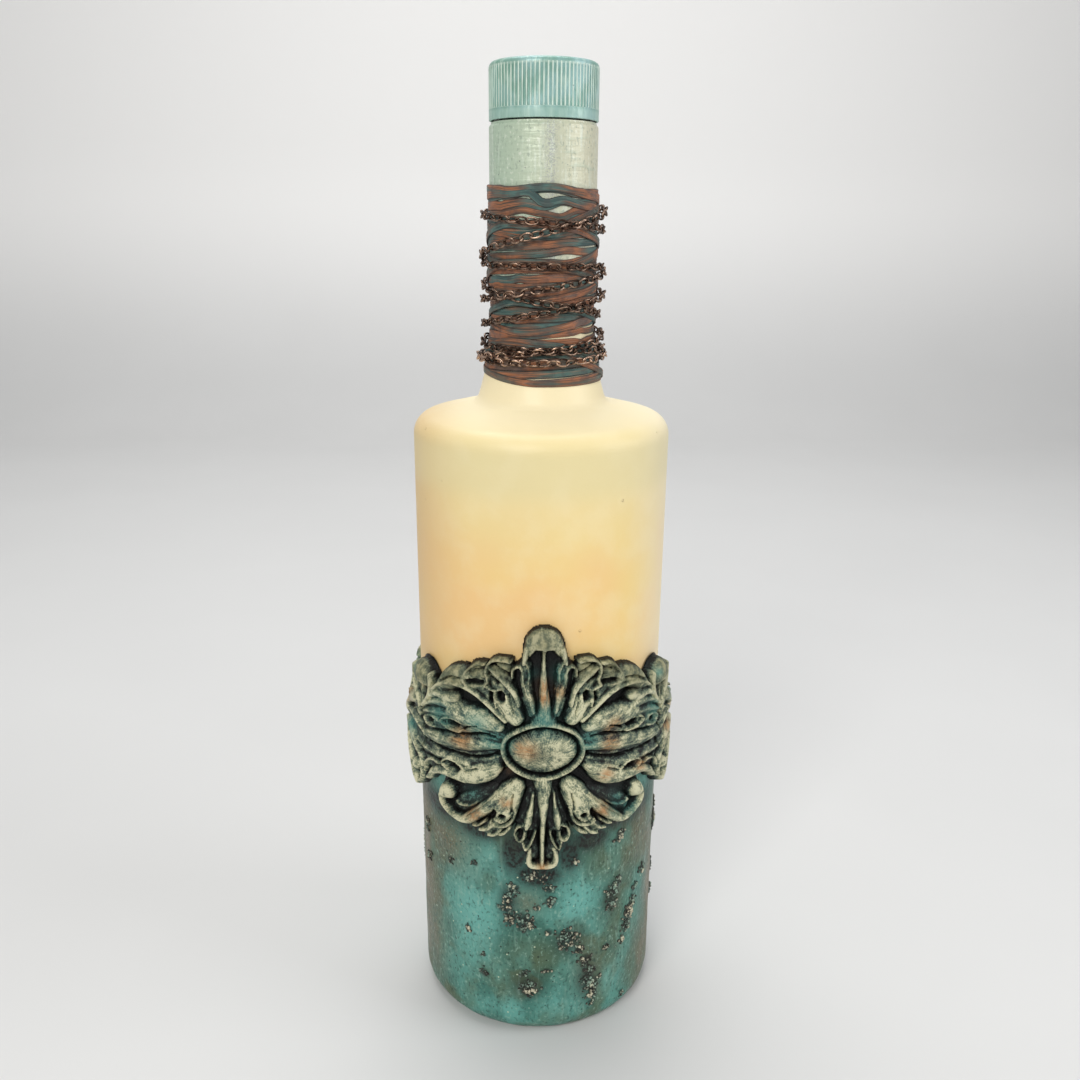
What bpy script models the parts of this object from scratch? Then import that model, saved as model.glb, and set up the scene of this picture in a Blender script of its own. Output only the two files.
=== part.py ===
"""A decorated whisky bottle, as the separate pieces that it is put together from.

A round glass bottle stands on a flat ring round its punt. A textured coat covers the lower wall,
and a belt of cast relief is set round the middle of the body: a cartouche in front and one at the
rear, a panel at each side, and a palmette at each joint between them.
A screw closure with a long skirt seals the neck. A flat cord is wound round the neck over the
lower part of the skirt, and a fine chain is wound over the cord, down the neck and up again.

Metres, +Z up. The origin is the middle of the base, and the front of the bottle faces -Y.
"""

import math

import bmesh
import bpy
from mathutils import Vector
from mathutils.geometry import delaunay_2d_cdt

# Glass body: a straight wall, a rounded shoulder that slopes up to the neck, and a punt
BODY_RADIUS = 0.0379
BODY_WALL = 0.0030
BASE_THICKNESS = 0.0050
PUNT_DEPTH = 0.0090
PUNT_RADIUS = 0.0270
HEEL_ROUND = 0.0065
INNER_ROUND = 0.0045
SHOULDER_HEIGHT = 0.1944
SHOULDER_ROUND = 0.0060
SHOULDER_SLOPE = math.radians(14)

# Glass neck: it flares down into the shoulder, and a slimmer finish at the top takes the cap
NECK_WALL = 0.0032
NECK_ROUND = 0.0035
FLARE_LENGTH = 0.0299
FLARE_WIDTH = 0.0048
BORE_RADIUS = 0.0093
FINISH_WALL = 0.0033
FINISH_LENGTH = 0.0154
LIP_ROUND = 0.0008

# Screw closure, from the thread outwards and from the mouth upwards
THREAD_CLEARANCE = 0.0003
INSERT_WALL = 0.00115
INSERT_TOP = 0.0010
INSERT_RECESS = 0.0005
FIT_GAP = 0.0003
CAP_WALL = 0.0004
CAP_TOP = 0.0005
CAP_HEIGHT = 0.0146
CAP_ROUND = 0.0014
RIB_COUNT = 82
RIB_DEPTH = 0.00025
RIB_START = 0.0028
LINER_THICKNESS = 0.0015
CLOSURE_LENGTH = 0.0600
CLOSURE_STAND = 0.0003
CAP_PARTING = 0.0004
SKIRT_WALL = 0.0004
SKIRT_CLEARANCE = 0.0004
EDGE_ROLL = 0.00012

# Textured coat on the lower wall, which follows the heel round
COAT_GAP = 0.0003
COAT_THICKNESS = 0.0004
COAT_TOP = 0.1120
COAT_HEEL_ANGLE = math.radians(50)

# Belt of cast relief: two cartouches, a panel at each side, and palmettes that cover the joints
CARTOUCHE_NAMES = ("cartouche_front", "cartouche_rear")
PANEL_NAMES = ("side_panel_right", "side_panel_left")
PALMETTE_NAMES = (
    ("palmette_front_right", "palmette_rear_right"),
    ("palmette_rear_left", "palmette_front_left"),
)
CARTOUCHE_ANGLE = math.radians(120)
BELT_HEIGHT = 0.1040
BELT_GAP = 0.0004
BELT_PLATE = 0.0006
BELT_RELIEF = 0.0040
BELT_JOINT_GAP = 0.0005
CARTOUCHE_HALF_HEIGHT = 0.0395
RIM_HALF_WIDTH = 0.0126
RIM_HALF_HEIGHT = 0.0096
RIM_BREADTH = 0.0020
GROOVE_BREADTH = 0.0013
OVAL_SPACING = 0.0004
LINE_SPACING = 0.0010
BACK_SPACING = 0.0066
PALMETTE_HALF_WIDTH = 0.0060

# Flat cord wound round the neck
CORD_PITCH = 0.0031
CORD_HALF_WIDTH = 0.0013
CORD_HALF_THICKNESS = 0.00045
CORD_GAP = 0.0003
CORD_BULGE = 0.00045
CORD_WAVER = 0.0007
WRAP_LIFT = 0.0068
WRAP_ON_SKIRT = 0.0274

# Chain wound over the cord, in an inner layer going down and an outer layer coming back
CHAIN_HALF_WIDTH = 0.0011
CHAIN_HALF_THICKNESS = 0.00042
CHAIN_GAP = 0.0003
CHAIN_LAYER_GAP = 0.00055
CHAIN_LIFT = 0.0065
CHAIN_DROP = 0.0040

# How finely the round forms are cut, and how near two points count as one
TURN_STEPS = 40
POINTS_PER_LOOP = 24
ARC_STEP = math.radians(30)
SMOOTH_ANGLE = math.radians(38)
MERGE_DISTANCE = 0.000001

# Radii of the closure and the neck, worked out from the bore
FINISH_RADIUS = BORE_RADIUS + FINISH_WALL
INSERT_INNER = FINISH_RADIUS + THREAD_CLEARANCE
INSERT_OUTER = INSERT_INNER + INSERT_WALL
SHELL_INNER = INSERT_OUTER + FIT_GAP
RIB_ROOT = SHELL_INNER + CAP_WALL
CLOSURE_RADIUS = RIB_ROOT + RIB_DEPTH
SKIRT_INNER = CLOSURE_RADIUS - SKIRT_WALL
NECK_RADIUS = SKIRT_INNER - SKIRT_CLEARANCE
NECK_BASE_RADIUS = NECK_RADIUS + FLARE_WIDTH

# Heights up the bottle: the closure stands just over the flare, and the glass fills it
SHOULDER_RISE = (BODY_RADIUS - NECK_BASE_RADIUS) * math.tan(SHOULDER_SLOPE)
NECK_BASE = SHOULDER_HEIGHT + SHOULDER_RISE
NECK_STRAIGHT = NECK_BASE + FLARE_LENGTH
SKIRT_BOTTOM = NECK_STRAIGHT + CLOSURE_STAND
CLOSURE_TOP = SKIRT_BOTTOM + CLOSURE_LENGTH
CAP_BOTTOM = CLOSURE_TOP - CAP_HEIGHT
SKIRT_TOP = CAP_BOTTOM - CAP_PARTING
SHELL_CEILING = CLOSURE_TOP - CAP_TOP
INSERT_CEILING = SHELL_CEILING - FIT_GAP - INSERT_TOP
LINER_BOTTOM = INSERT_CEILING - FIT_GAP - LINER_THICKNESS
MOUTH = LINER_BOTTOM - FIT_GAP
FINISH_BASE = MOUTH - FINISH_LENGTH

# Turns of the cord from the foot of the neck to over the skirt, and the chain's reach on them
WRAP_BOTTOM = NECK_BASE + WRAP_LIFT
WRAP_LENGTH = SKIRT_BOTTOM + WRAP_ON_SKIRT - WRAP_BOTTOM
CORD_TURNS = int(WRAP_LENGTH / CORD_PITCH)
CHAIN_BOTTOM = WRAP_BOTTOM + CHAIN_LIFT
CHAIN_RISE = WRAP_LENGTH - CHAIN_LIFT - CHAIN_DROP

# The belt lies on the coat
COAT_INNER = BODY_RADIUS + COAT_GAP
COAT_OUTER = COAT_INNER + COAT_THICKNESS
BELT_BACK = COAT_OUTER + BELT_GAP
BELT_FACE = BELT_BACK + BELT_PLATE
CARTOUCHE_HALF_WIDTH = (BELT_BACK * CARTOUCHE_ANGLE - BELT_JOINT_GAP) / 2
PANEL_HALF_WIDTH = (BELT_BACK * (math.pi - CARTOUCHE_ANGLE) - BELT_JOINT_GAP) / 2

# Right half of a cartouche's outline from the knob on top to the tip below: shares of the half
# width, of the half height and of the relief's depth at the edge.
CARTOUCHE_SHARES = (
    (0.000, 1.000, 0.35),
    (0.103, 0.965, 0.35),
    (0.148, 0.873, 0.35),
    (0.155, 0.772, 0.35),
    (0.207, 0.709, 0.22),
    (0.283, 0.739, 0.45),
    (0.374, 0.704, 0.45),
    (0.431, 0.653, 0.32),
    (0.542, 0.643, 0.45),
    (0.665, 0.597, 0.50),
    (0.776, 0.496, 0.50),
    (0.828, 0.380, 0.30),
    (0.872, 0.278, 0.45),
    (0.926, 0.177, 0.55),
    (1.000, 0.066, 0.62),
    (1.000, -0.076, 0.62),
    (1.000, -0.213, 0.62),
    (0.985, -0.354, 0.55),
    (0.921, -0.494, 0.50),
    (0.837, -0.597, 0.60),
    (0.690, -0.653, 0.60),
    (0.530, -0.623, 0.45),
    (0.443, -0.684, 0.40),
    (0.333, -0.724, 0.40),
    (0.222, -0.699, 0.22),
    (0.148, -0.797, 0.35),
    (0.128, -0.952, 0.40),
    (0.000, -1.000, 0.40),
)

# Relief of the right half: a stem, leaves, scrolls and balls, each a line of points. A point has its
# shares of the half width and the half height, its half breadth as a share of the half width, and
# its share of the relief's depth. A groove between them is a line without breadth.
RELIEF_SHARES = (
    ((0.000, 0.248, 0.070, 0.70), (0.000, 0.354, 0.040, 0.70), (0.000, 0.785, 0.021, 0.65)),
    ((0.000, 0.866, 0.122, 0.98),),
    ((0.131, 0.800, 0.028, 0.68), (0.145, 0.729, 0.023, 0.62)),
    (
        (0.080, 0.334, 0.026, 0.60), (0.122, 0.486, 0.030, 0.62), (0.187, 0.630, 0.028, 0.65),
        (0.122, 0.714, 0.033, 0.62),
    ),
    ((0.169, 0.268, 0.056, 0.83), (0.211, 0.365, 0.070, 0.83)),
    ((0.197, 0.527, 0.028, 0.75), (0.211, 0.699, 0.035, 0.73)),
    ((0.300, 0.415, 0.030, 0.78), (0.356, 0.547, 0.033, 0.78), (0.337, 0.704, 0.037, 0.75)),
    ((0.375, 0.466, 0.030, 0.68), (0.469, 0.572, 0.033, 0.68), (0.436, 0.684, 0.033, 0.68)),
    ((0.544, 0.592, 0.056, 0.73), (0.651, 0.567, 0.075, 0.75), (0.750, 0.476, 0.061, 0.75)),
    (
        (0.239, 0.253, 0.028, 0.85), (0.366, 0.385, 0.035, 0.90), (0.553, 0.478, 0.040, 0.90),
        (0.726, 0.435, 0.037, 0.88),
    ),
    ((0.661, 0.354, 0.056, 0.85),),
    (
        (0.319, 0.187, 0.052, 0.88), (0.398, 0.223, 0.084, 0.90), (0.562, 0.243, 0.080, 0.90),
        (0.759, 0.273, 0.056, 0.75), (0.982, 0.167, 0.042, 0.70),
    ),
    ((0.548, 0.137, 0.033, 0.78), (0.773, 0.132, 0.042, 0.75), (0.982, 0.081, 0.037, 0.70)),
    (
        (0.314, 0.020, 0.056, 0.83), (0.422, 0.010, 0.063, 0.83), (0.656, -0.025, 0.059, 0.78),
        (0.982, -0.076, 0.056, 0.75),
    ),
    (
        (0.333, -0.152, 0.047, 0.88), (0.431, -0.223, 0.082, 0.90), (0.562, -0.284, 0.075, 0.88),
        (0.787, -0.322, 0.047, 0.75), (0.947, -0.430, 0.042, 0.73),
    ),
    ((0.586, -0.177, 0.035, 0.78), (0.982, -0.213, 0.052, 0.73)),
    ((0.715, -0.481, 0.075, 0.98),),
    (
        (0.848, -0.441, 0.030, 0.80), (0.858, -0.567, 0.035, 0.80), (0.712, -0.648, 0.037, 0.83),
        (0.516, -0.577, 0.063, 0.88), (0.291, -0.339, 0.047, 0.88),
    ),
    (
        (0.173, -0.319, 0.059, 0.90), (0.230, -0.456, 0.077, 0.90), (0.267, -0.623, 0.066, 0.78),
        (0.347, -0.709, 0.037, 0.68),
    ),
    ((0.342, -0.542, 0.023, 0.78), (0.412, -0.673, 0.026, 0.73)),
    (
        (0.084, -0.365, 0.021, 0.65), (0.112, -0.567, 0.028, 0.70), (0.178, -0.714, 0.028, 0.68),
        (0.122, -0.795, 0.028, 0.65),
    ),
    ((0.000, -0.253, 0.070, 0.73), (0.000, -0.430, 0.049, 0.73), (0.000, -0.932, 0.021, 0.68)),
    ((0.101, -0.841, 0.030, 0.70), (0.108, -0.927, 0.035, 0.70), (0.000, -0.972, 0.021, 0.70)),
    ((0.045, 0.339, 0.000, 0.05), (0.045, 0.532, 0.000, 0.05), (0.040, 0.724, 0.000, 0.05)),
    ((0.033, 0.767, 0.000, 0.05), (0.089, 0.765, 0.000, 0.05)),
    ((0.108, 0.557, 0.000, 0.10), (0.124, 0.648, 0.000, 0.10)),
    ((0.122, 0.309, 0.000, 0.07), (0.162, 0.471, 0.000, 0.25)),
    ((0.262, 0.453, 0.000, 0.07), (0.272, 0.522, 0.000, 0.33), (0.277, 0.658, 0.000, 0.15)),
    ((0.267, 0.324, 0.000, 0.15), (0.361, 0.466, 0.000, 0.25), (0.408, 0.608, 0.000, 0.20)),
    (
        (0.281, 0.263, 0.000, 0.00), (0.398, 0.352, 0.000, 0.00), (0.530, 0.400, 0.000, 0.00),
        (0.651, 0.430, 0.000, 0.00),
    ),
    (
        (0.342, 0.101, 0.000, 0.07), (0.478, 0.101, 0.000, 0.10), (0.656, 0.056, 0.000, 0.15),
        (0.937, 0.008, 0.000, 0.30),
    ),
    ((0.623, 0.129, 0.000, 0.15), (0.708, 0.122, 0.000, 0.15)),
    (
        (0.323, -0.058, 0.000, 0.00), (0.469, -0.099, 0.000, 0.03), (0.656, -0.124, 0.000, 0.05),
        (0.951, -0.147, 0.000, 0.25),
    ),
    ((0.614, -0.235, 0.000, 0.05), (0.708, -0.241, 0.000, 0.07)),
    (
        (0.277, -0.233, 0.000, 0.00), (0.361, -0.329, 0.000, 0.00), (0.483, -0.415, 0.000, 0.00),
        (0.614, -0.435, 0.000, 0.00),
    ),
    (
        (0.572, -0.516, 0.000, 0.15), (0.661, -0.577, 0.000, 0.15), (0.764, -0.577, 0.000, 0.20),
        (0.787, -0.486, 0.000, 0.20),
    ),
    ((0.244, -0.324, 0.000, 0.15), (0.314, -0.451, 0.000, 0.20), (0.384, -0.567, 0.000, 0.25)),
    ((0.124, -0.329, 0.000, 0.00), (0.145, -0.481, 0.000, 0.00), (0.169, -0.613, 0.000, 0.07)),
    ((0.066, -0.430, 0.000, 0.03), (0.052, -0.633, 0.000, 0.03), (0.052, -0.901, 0.000, 0.05)),
    ((0.127, -0.673, 0.000, 0.10), (0.127, -0.744, 0.000, 0.10)),
)
CREST_SHARE = 0.60
BALL_SHARE = 0.70
FOOT_SHARE = 1.04
BALL_POINTS = 8
THIN_SHARE = 0.040
GROUND_SHARE = 0.32
COVERED_SHARE = 0.45
OVAL_POINTS = 24
BOSS_SHARES = (0.50, 0.93)
BOSS_EDGE_SHARE = 0.40
GROOVE_SHARE = 0.02
RIM_SHARE = 0.88
LEAF_FOOT_SHARE = 0.20
EDGE_SHARE = 0.12

# Outline and relief of a side panel, given as the cartouche's are but for its own half width. Its
# top edge stays low, and its ends meet those of the cartouches.
PANEL_OUTLINE_SHARES = (
    (0.000, 0.243, 0.45),
    (0.217, 0.294, 0.45),
    (0.453, 0.258, 0.50),
    (0.670, 0.299, 0.50),
    (0.849, 0.218, 0.50),
    (1.000, 0.066, 0.62),
    (1.000, -0.076, 0.62),
    (1.000, -0.213, 0.62),
    (0.986, -0.354, 0.50),
    (0.939, -0.496, 0.50),
    (0.811, -0.592, 0.55),
    (0.594, -0.605, 0.50),
    (0.387, -0.496, 0.45),
    (0.208, -0.441, 0.35),
    (0.123, -0.532, 0.40),
    (0.000, -0.577, 0.40),
)
PANEL_RELIEF_SHARES = (
    ((0.000, -0.086, 0.217, 0.95),),
    ((0.000, 0.076, 0.071, 0.73), (0.000, 0.218, 0.047, 0.68)),
    ((0.123, 0.061, 0.061, 0.75), (0.226, 0.223, 0.071, 0.75)),
    (
        (0.255, 0.030, 0.085, 0.80), (0.453, 0.137, 0.118, 0.85), (0.689, 0.192, 0.123, 0.85),
        (0.972, 0.061, 0.085, 0.73),
    ),
    ((0.311, -0.061, 0.085, 0.78), (0.613, 0.005, 0.113, 0.83), (0.986, -0.073, 0.104, 0.75)),
    ((0.321, -0.157, 0.075, 0.78), (0.642, -0.162, 0.118, 0.85), (0.986, -0.208, 0.104, 0.75)),
    (
        (0.236, -0.243, 0.085, 0.85), (0.500, -0.420, 0.113, 0.88), (0.745, -0.547, 0.075, 0.83),
        (0.877, -0.466, 0.052, 0.75),
    ),
    ((0.453, -0.258, 0.066, 0.75), (0.925, -0.344, 0.066, 0.73)),
    ((0.726, -0.451, 0.104, 0.90),),
    ((0.000, -0.289, 0.104, 0.83), (0.000, -0.405, 0.066, 0.75), (0.000, -0.532, 0.042, 0.70)),
    ((0.113, -0.319, 0.047, 0.70), (0.189, -0.405, 0.047, 0.65)),
    ((0.292, 0.116, 0.000, 0.15), (0.462, 0.208, 0.000, 0.22)),
    ((0.292, -0.013, 0.000, 0.05), (0.594, 0.076, 0.000, 0.07), (0.962, -0.005, 0.000, 0.30)),
    ((0.302, -0.109, 0.000, 0.05), (0.632, -0.081, 0.000, 0.07), (0.981, -0.142, 0.000, 0.25)),
    ((0.349, -0.233, 0.000, 0.03), (0.660, -0.248, 0.000, 0.07), (0.962, -0.289, 0.000, 0.22)),
    ((0.443, -0.319, 0.000, 0.05), (0.594, -0.395, 0.000, 0.07), (0.736, -0.380, 0.000, 0.12)),
    ((0.160, -0.268, 0.000, 0.05), (0.264, -0.375, 0.000, 0.10)),
)

# Palmette from its foot to its knob: shares of the height, the half width and the relief. It
# stands over the joint of a cartouche and a panel, at these shares of the cartouche's half height.
PALMETTE_SHARES = (
    (0.00, 0.22, 0.24),
    (0.16, 0.36, 0.44),
    (0.32, 0.46, 0.34),
    (0.46, 0.62, 0.16),
    (0.58, 0.86, 0.46),
    (0.70, 1.00, 0.92),
    (0.84, 0.92, 1.00),
    (0.94, 0.66, 0.84),
    (1.00, 0.26, 0.44),
)
PALMETTE_FLANK_SHARES = (0.55, 0.80)
PALMETTE_END_SHARES = (0.14, 0.58)

# Heights of the chain's passes at the left and right of the front, as shares of its rise
CHAIN_PASS_SHARES = (
    (0.968, 0.871),
    (0.655, 0.623),
    (0.501, 0.298),
    (0.140, 0.112),
    (0.000, 0.020),
    (0.015, 0.165),
    (0.231, 0.442),
    (0.400, 0.596),
    (0.702, 1.000),
)
CHAIN_PASSES_DOWN = 4


def clear_scene():
    for item in list(bpy.data.objects):
        bpy.data.objects.remove(item, do_unlink=True)


def finish(name, colour, roughness, metallic):
    """A material with the piece's own colour, named after the piece."""
    material = bpy.data.materials.new(name)
    material.use_nodes = True
    shader = material.node_tree.nodes["Principled BSDF"]
    shader.inputs["Base Color"].default_value = (*colour, 1)
    shader.inputs["Roughness"].default_value = roughness
    shader.inputs["Metallic"].default_value = metallic
    return material


def mesh_from(bm, name, material):
    """Close a piece's mesh: faces outward, round faces smooth, creases sharp."""
    bmesh.ops.remove_doubles(bm, verts=bm.verts, dist=MERGE_DISTANCE)
    bmesh.ops.recalc_face_normals(bm, faces=bm.faces)
    mesh = bpy.data.meshes.new(name)
    bm.to_mesh(mesh)
    bm.free()
    mesh.materials.append(material)
    mesh.shade_smooth()
    mesh.set_sharp_from_angle(angle=SMOOTH_ANGLE)
    return mesh


def place(name, mesh, turn=0):
    item = bpy.data.objects.new(name, mesh)
    item.rotation_euler.z = turn
    bpy.context.scene.collection.objects.link(item)
    return item


def rounded(corners):
    """Points of a profile given as (radius, height, round) corners."""
    points = []
    for i, (radius, height, fillet) in enumerate(corners):
        corner = Vector((radius, height))
        if fillet == 0:
            points.append(corner)
            continue
        to_last = (Vector(corners[i - 1][:2]) - corner).normalized()
        to_next = (Vector(corners[i + 1][:2]) - corner).normalized()
        half = to_last.angle(to_next) / 2
        centre = corner + (to_last + to_next).normalized() * fillet / math.sin(half)
        first = corner + to_last * fillet / math.tan(half) - centre
        last = corner + to_next * fillet / math.tan(half) - centre
        start = math.atan2(first.y, first.x)
        sweep = math.remainder(math.atan2(last.y, last.x) - start, 2 * math.pi)
        steps = max(1, round(abs(sweep) / ARC_STEP))
        for k in range(steps + 1):
            angle = start + sweep * k / steps
            points.append(centre + Vector((math.cos(angle), math.sin(angle))) * fillet)
    return points


def turned(profile, closed, steps=TURN_STEPS):
    """Spin a profile of (radius, height) points round the bottle's axis."""
    bm = bmesh.new()
    line = [bm.verts.new((point[0], 0, point[1])) for point in profile]
    ends = line[1:] + line[:1] if closed else line[1:]
    edges = [bm.edges.new(pair) for pair in zip(line, ends)]
    bmesh.ops.spin(
        bm,
        geom=line + edges,
        cent=(0, 0, 0),
        axis=(0, 0, 1),
        angle=2 * math.pi,
        steps=steps,
        use_merge=True,
    )
    return bm


def neck_radius(height):
    """Outside of the glass neck, which flares towards the shoulder as a parabola."""
    below = max(0, NECK_STRAIGHT - height) / FLARE_LENGTH
    return NECK_RADIUS + FLARE_WIDTH * below ** 2


def flare(shares, wall):
    """Points up the flare, at shares of its length, inside the glass by the given wall."""
    rows = []
    for share in shares:
        height = NECK_BASE + FLARE_LENGTH * share
        rows.append((neck_radius(height) - wall, height, 0))
    return rows


def glass_bottle():
    """One blown wall from the punt over the shoulder to the lip, and back down inside."""
    punt_shares = (0, 0.4, 0.75)
    flare_shares = (0.22, 0.45, 0.70, 1)
    inner_flare_shares = (0.30, 0.65, 1)
    punt = [(PUNT_RADIUS * s, PUNT_DEPTH * (1 - s ** 2), 0) for s in punt_shares]
    floor = [(radius, height + BASE_THICKNESS, 0) for radius, height, _ in reversed(punt)]
    inner_neck = NECK_RADIUS - NECK_WALL
    inner_body = BODY_RADIUS - BODY_WALL
    inner_shoulder = SHOULDER_HEIGHT - BODY_WALL
    inner_neck_base = NECK_BASE - BODY_WALL
    step = NECK_RADIUS - FINISH_RADIUS
    outside = [
        (PUNT_RADIUS, 0, 0),
        (BODY_RADIUS, 0, HEEL_ROUND),
        (BODY_RADIUS, SHOULDER_HEIGHT, SHOULDER_ROUND),
        (NECK_BASE_RADIUS, NECK_BASE, NECK_ROUND),
        *flare(flare_shares, 0),
        (NECK_RADIUS, FINISH_BASE, 0),
        (FINISH_RADIUS, FINISH_BASE + step, 0),
        (FINISH_RADIUS, MOUTH, LIP_ROUND),
    ]
    inside = [
        (BORE_RADIUS, MOUTH, LIP_ROUND),
        (BORE_RADIUS, FINISH_BASE, 0),
        (inner_neck, FINISH_BASE - step, 0),
        *reversed(flare(inner_flare_shares, NECK_WALL)),
        (NECK_BASE_RADIUS - NECK_WALL, inner_neck_base, 0),
        (inner_body, inner_shoulder, INNER_ROUND),
        (inner_body, BASE_THICKNESS, INNER_ROUND),
    ]
    profile = rounded(punt + outside + inside + floor)
    material = finish("painted_glass", (0.80, 0.66, 0.38), 0.55, 0)
    place("glass_bottle", mesh_from(turned(profile, closed=False), "glass_bottle", material))


def texture_coat():
    """A thin textured skin on the lower wall, carried on round the heel."""
    centre = Vector((BODY_RADIUS - HEEL_ROUND, HEEL_ROUND))

    def side(radius):
        reach = radius - centre.x
        steps = round(COAT_HEEL_ANGLE / ARC_STEP) + 1
        angles = [-COAT_HEEL_ANGLE * (steps - k) / steps for k in range(steps + 1)]
        arc = [centre + Vector((math.cos(a), math.sin(a))) * reach for a in angles]
        return arc + [Vector((radius, COAT_TOP))]

    profile = side(COAT_OUTER) + side(COAT_INNER)[::-1]
    material = finish("texture_paste", (0.24, 0.38, 0.35), 0.70, 0)
    place("texture_coat", mesh_from(turned(profile, closed=True), "texture_coat", material))


def on_belt(arc, height, radius):
    """A point at an arc along the back of the belt, a height from its middle, and a radius."""
    angle = arc / BELT_BACK
    return (radius * math.sin(angle), -radius * math.cos(angle), BELT_HEIGHT + height)


def relief(share):
    return BELT_FACE + BELT_RELIEF * share


def skin(bm, rings):
    """Join closed rings of equal count, in order, with quads."""
    for lower, upper in zip(rings, rings[1:]):
        count = len(lower)
        for k in range(count):
            after = (k + 1) % count
            bm.faces.new((lower[k], lower[after], upper[after], upper[k]))


def cap_ring(bm, ring, point):
    """Close a ring with a fan of triangles to one point."""
    tip = bm.verts.new(point)
    for k in range(len(ring)):
        bm.faces.new((ring[k], ring[(k + 1) % len(ring)], tip))


class Sheet:
    """Points in the flat plan of a cast piece, no two too close, with lines kept between them."""

    def __init__(self, outline, least):
        self.count = len(outline)
        self.points = [Vector(point) for point in outline]
        self.edges = []
        self.least = least

    def holds(self, point):
        """True when a point lies inside the outline."""
        inside = False
        loop = self.points[:self.count]
        for a, b in zip(loop, loop[1:] + loop[:1]):
            if (a.y > point.y) == (b.y > point.y):
                continue
            if point.x < a.x + (b.x - a.x) * (point.y - a.y) / (b.y - a.y):
                inside = not inside
        return inside

    def settle(self, point):
        """Index of the point, or of one that stands in its place already."""
        point = Vector(point)
        if not self.holds(point):
            return None
        for k, other in enumerate(self.points):
            if (other - point).length < self.least:
                return k if k >= self.count else None
        self.points.append(point)
        return len(self.points) - 1

    def join(self, indexes):
        """Keep the lines between points that follow each other."""
        for a, b in zip(indexes, indexes[1:]):
            if a is not None and b is not None and a != b:
                self.edges.append((a, b))

    def fill(self, bm, radius_at):
        """Fill the outline with triangles, each point at its radius, and return the outline's points."""
        loop = list(range(self.count))
        found = delaunay_2d_cdt(self.points, self.edges, [loop], 1, MERGE_DISTANCE)
        points, triangles, origins = found[0], found[2], found[3]
        verts = []
        outline = {}
        for point, origin in zip(points, origins):
            index = origin[0] if origin else None
            verts.append(bm.verts.new(on_belt(point.x, point.y, radius_at(point, index))))
            if index is not None and index < self.count:
                outline[index] = verts[-1]
        for triangle in triangles:
            bm.faces.new([verts[k] for k in triangle])
        return [outline[k] for k in loop]


def relief_lines(half_width, shares):
    """A relief's lines in real sizes, with those of the left half."""
    lines = []
    for row in shares:
        line = []
        for across, up, breadth, share in row:
            middle = Vector((half_width * across, CARTOUCHE_HALF_HEIGHT * up))
            line.append((middle, half_width * breadth, share))
        lines.append(line)
        if any(middle.x for middle, _, _ in line):
            mirrored = [(Vector((-middle.x, middle.y)), breadth, share) for middle, breadth, share in line]
            lines.append(mirrored)
    return lines


def relief_share(point, lines):
    """Share of the relief's depth at a point: that of the highest line over it."""
    most = GROUND_SHARE
    for line in lines:
        for (a, a_breadth, a_share), (b, b_breadth, b_share) in zip(line, line[1:] or line):
            if a_breadth == 0:
                continue
            span = (b - a).length_squared
            along = min(1, max(0, (point - a).dot(b - a) / span)) if span else 0
            breadth = a_breadth + (b_breadth - a_breadth) * along
            away = (point - a.lerp(b, along)).length / breadth
            share = a_share + (b_share - a_share) * along
            most = max(most, share * math.sqrt(max(0, 1 - away ** 2)))
    return most


def ring_of(middle, wide, tall, count):
    """Points of an oval round a middle."""
    turns = [2 * math.pi * k / count for k in range(count)]
    return [Vector((middle[0] + wide * math.cos(t), middle[1] + tall * math.sin(t))) for t in turns]


def add_line(sheet, line, fixed):
    """Add a relief line to the plan as kept edges: the two rails of its crest, or one when thin."""
    if len(line) == 1:
        middle, breadth, share = line[0]
        fixed[sheet.settle(middle)] = share
        for point in ring_of(middle, breadth * BALL_SHARE, breadth * BALL_SHARE, BALL_POINTS):
            fixed[sheet.settle(point)] = share * math.sqrt(1 - BALL_SHARE ** 2)
        return
    rails = ([], [])
    for k, (point, breadth, share) in enumerate(line):
        ahead = line[min(k + 1, len(line) - 1)][0] - line[max(k - 1, 0)][0]
        across = Vector((-ahead.y, ahead.x)).normalized() * breadth
        reach = 0 if breadth < CARTOUCHE_HALF_WIDTH * THIN_SHARE else CREST_SHARE
        for rail, side in zip(rails, (1, -1)):
            rail.append(sheet.settle(point + across * side * reach))
            fixed.setdefault(rail[-1], share * math.sqrt(1 - reach ** 2))
    for rail in rails:
        sheet.join(rail)


def line_feet(line):
    """Points at the foot of a relief line, on both sides, or round it when it is a ball."""
    middle, breadth, _ = line[0]
    if breadth == 0:
        return []
    if len(line) == 1:
        return ring_of(middle, breadth * FOOT_SHARE, breadth * FOOT_SHARE, BALL_POINTS)
    feet = []
    for k, (point, breadth, _) in enumerate(line):
        ahead = line[min(k + 1, len(line) - 1)][0] - line[max(k - 1, 0)][0]
        across = Vector((-ahead.y, ahead.x)).normalized() * breadth * FOOT_SHARE
        feet += [point + across, point - across]
    return feet


def back_sheet(outline, half_width):
    """The plain back of a cast piece, with points in rows and columns so that it bends round the belt."""
    back = Sheet(outline, LINE_SPACING)
    columns = math.floor(half_width / BACK_SPACING)
    rows = math.floor(CARTOUCHE_HALF_HEIGHT / BACK_SPACING)
    for column in range(-columns, columns + 1):
        for row in range(-rows, rows + 1):
            back.settle((column * BACK_SPACING, row * BACK_SPACING))
    return back


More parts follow.
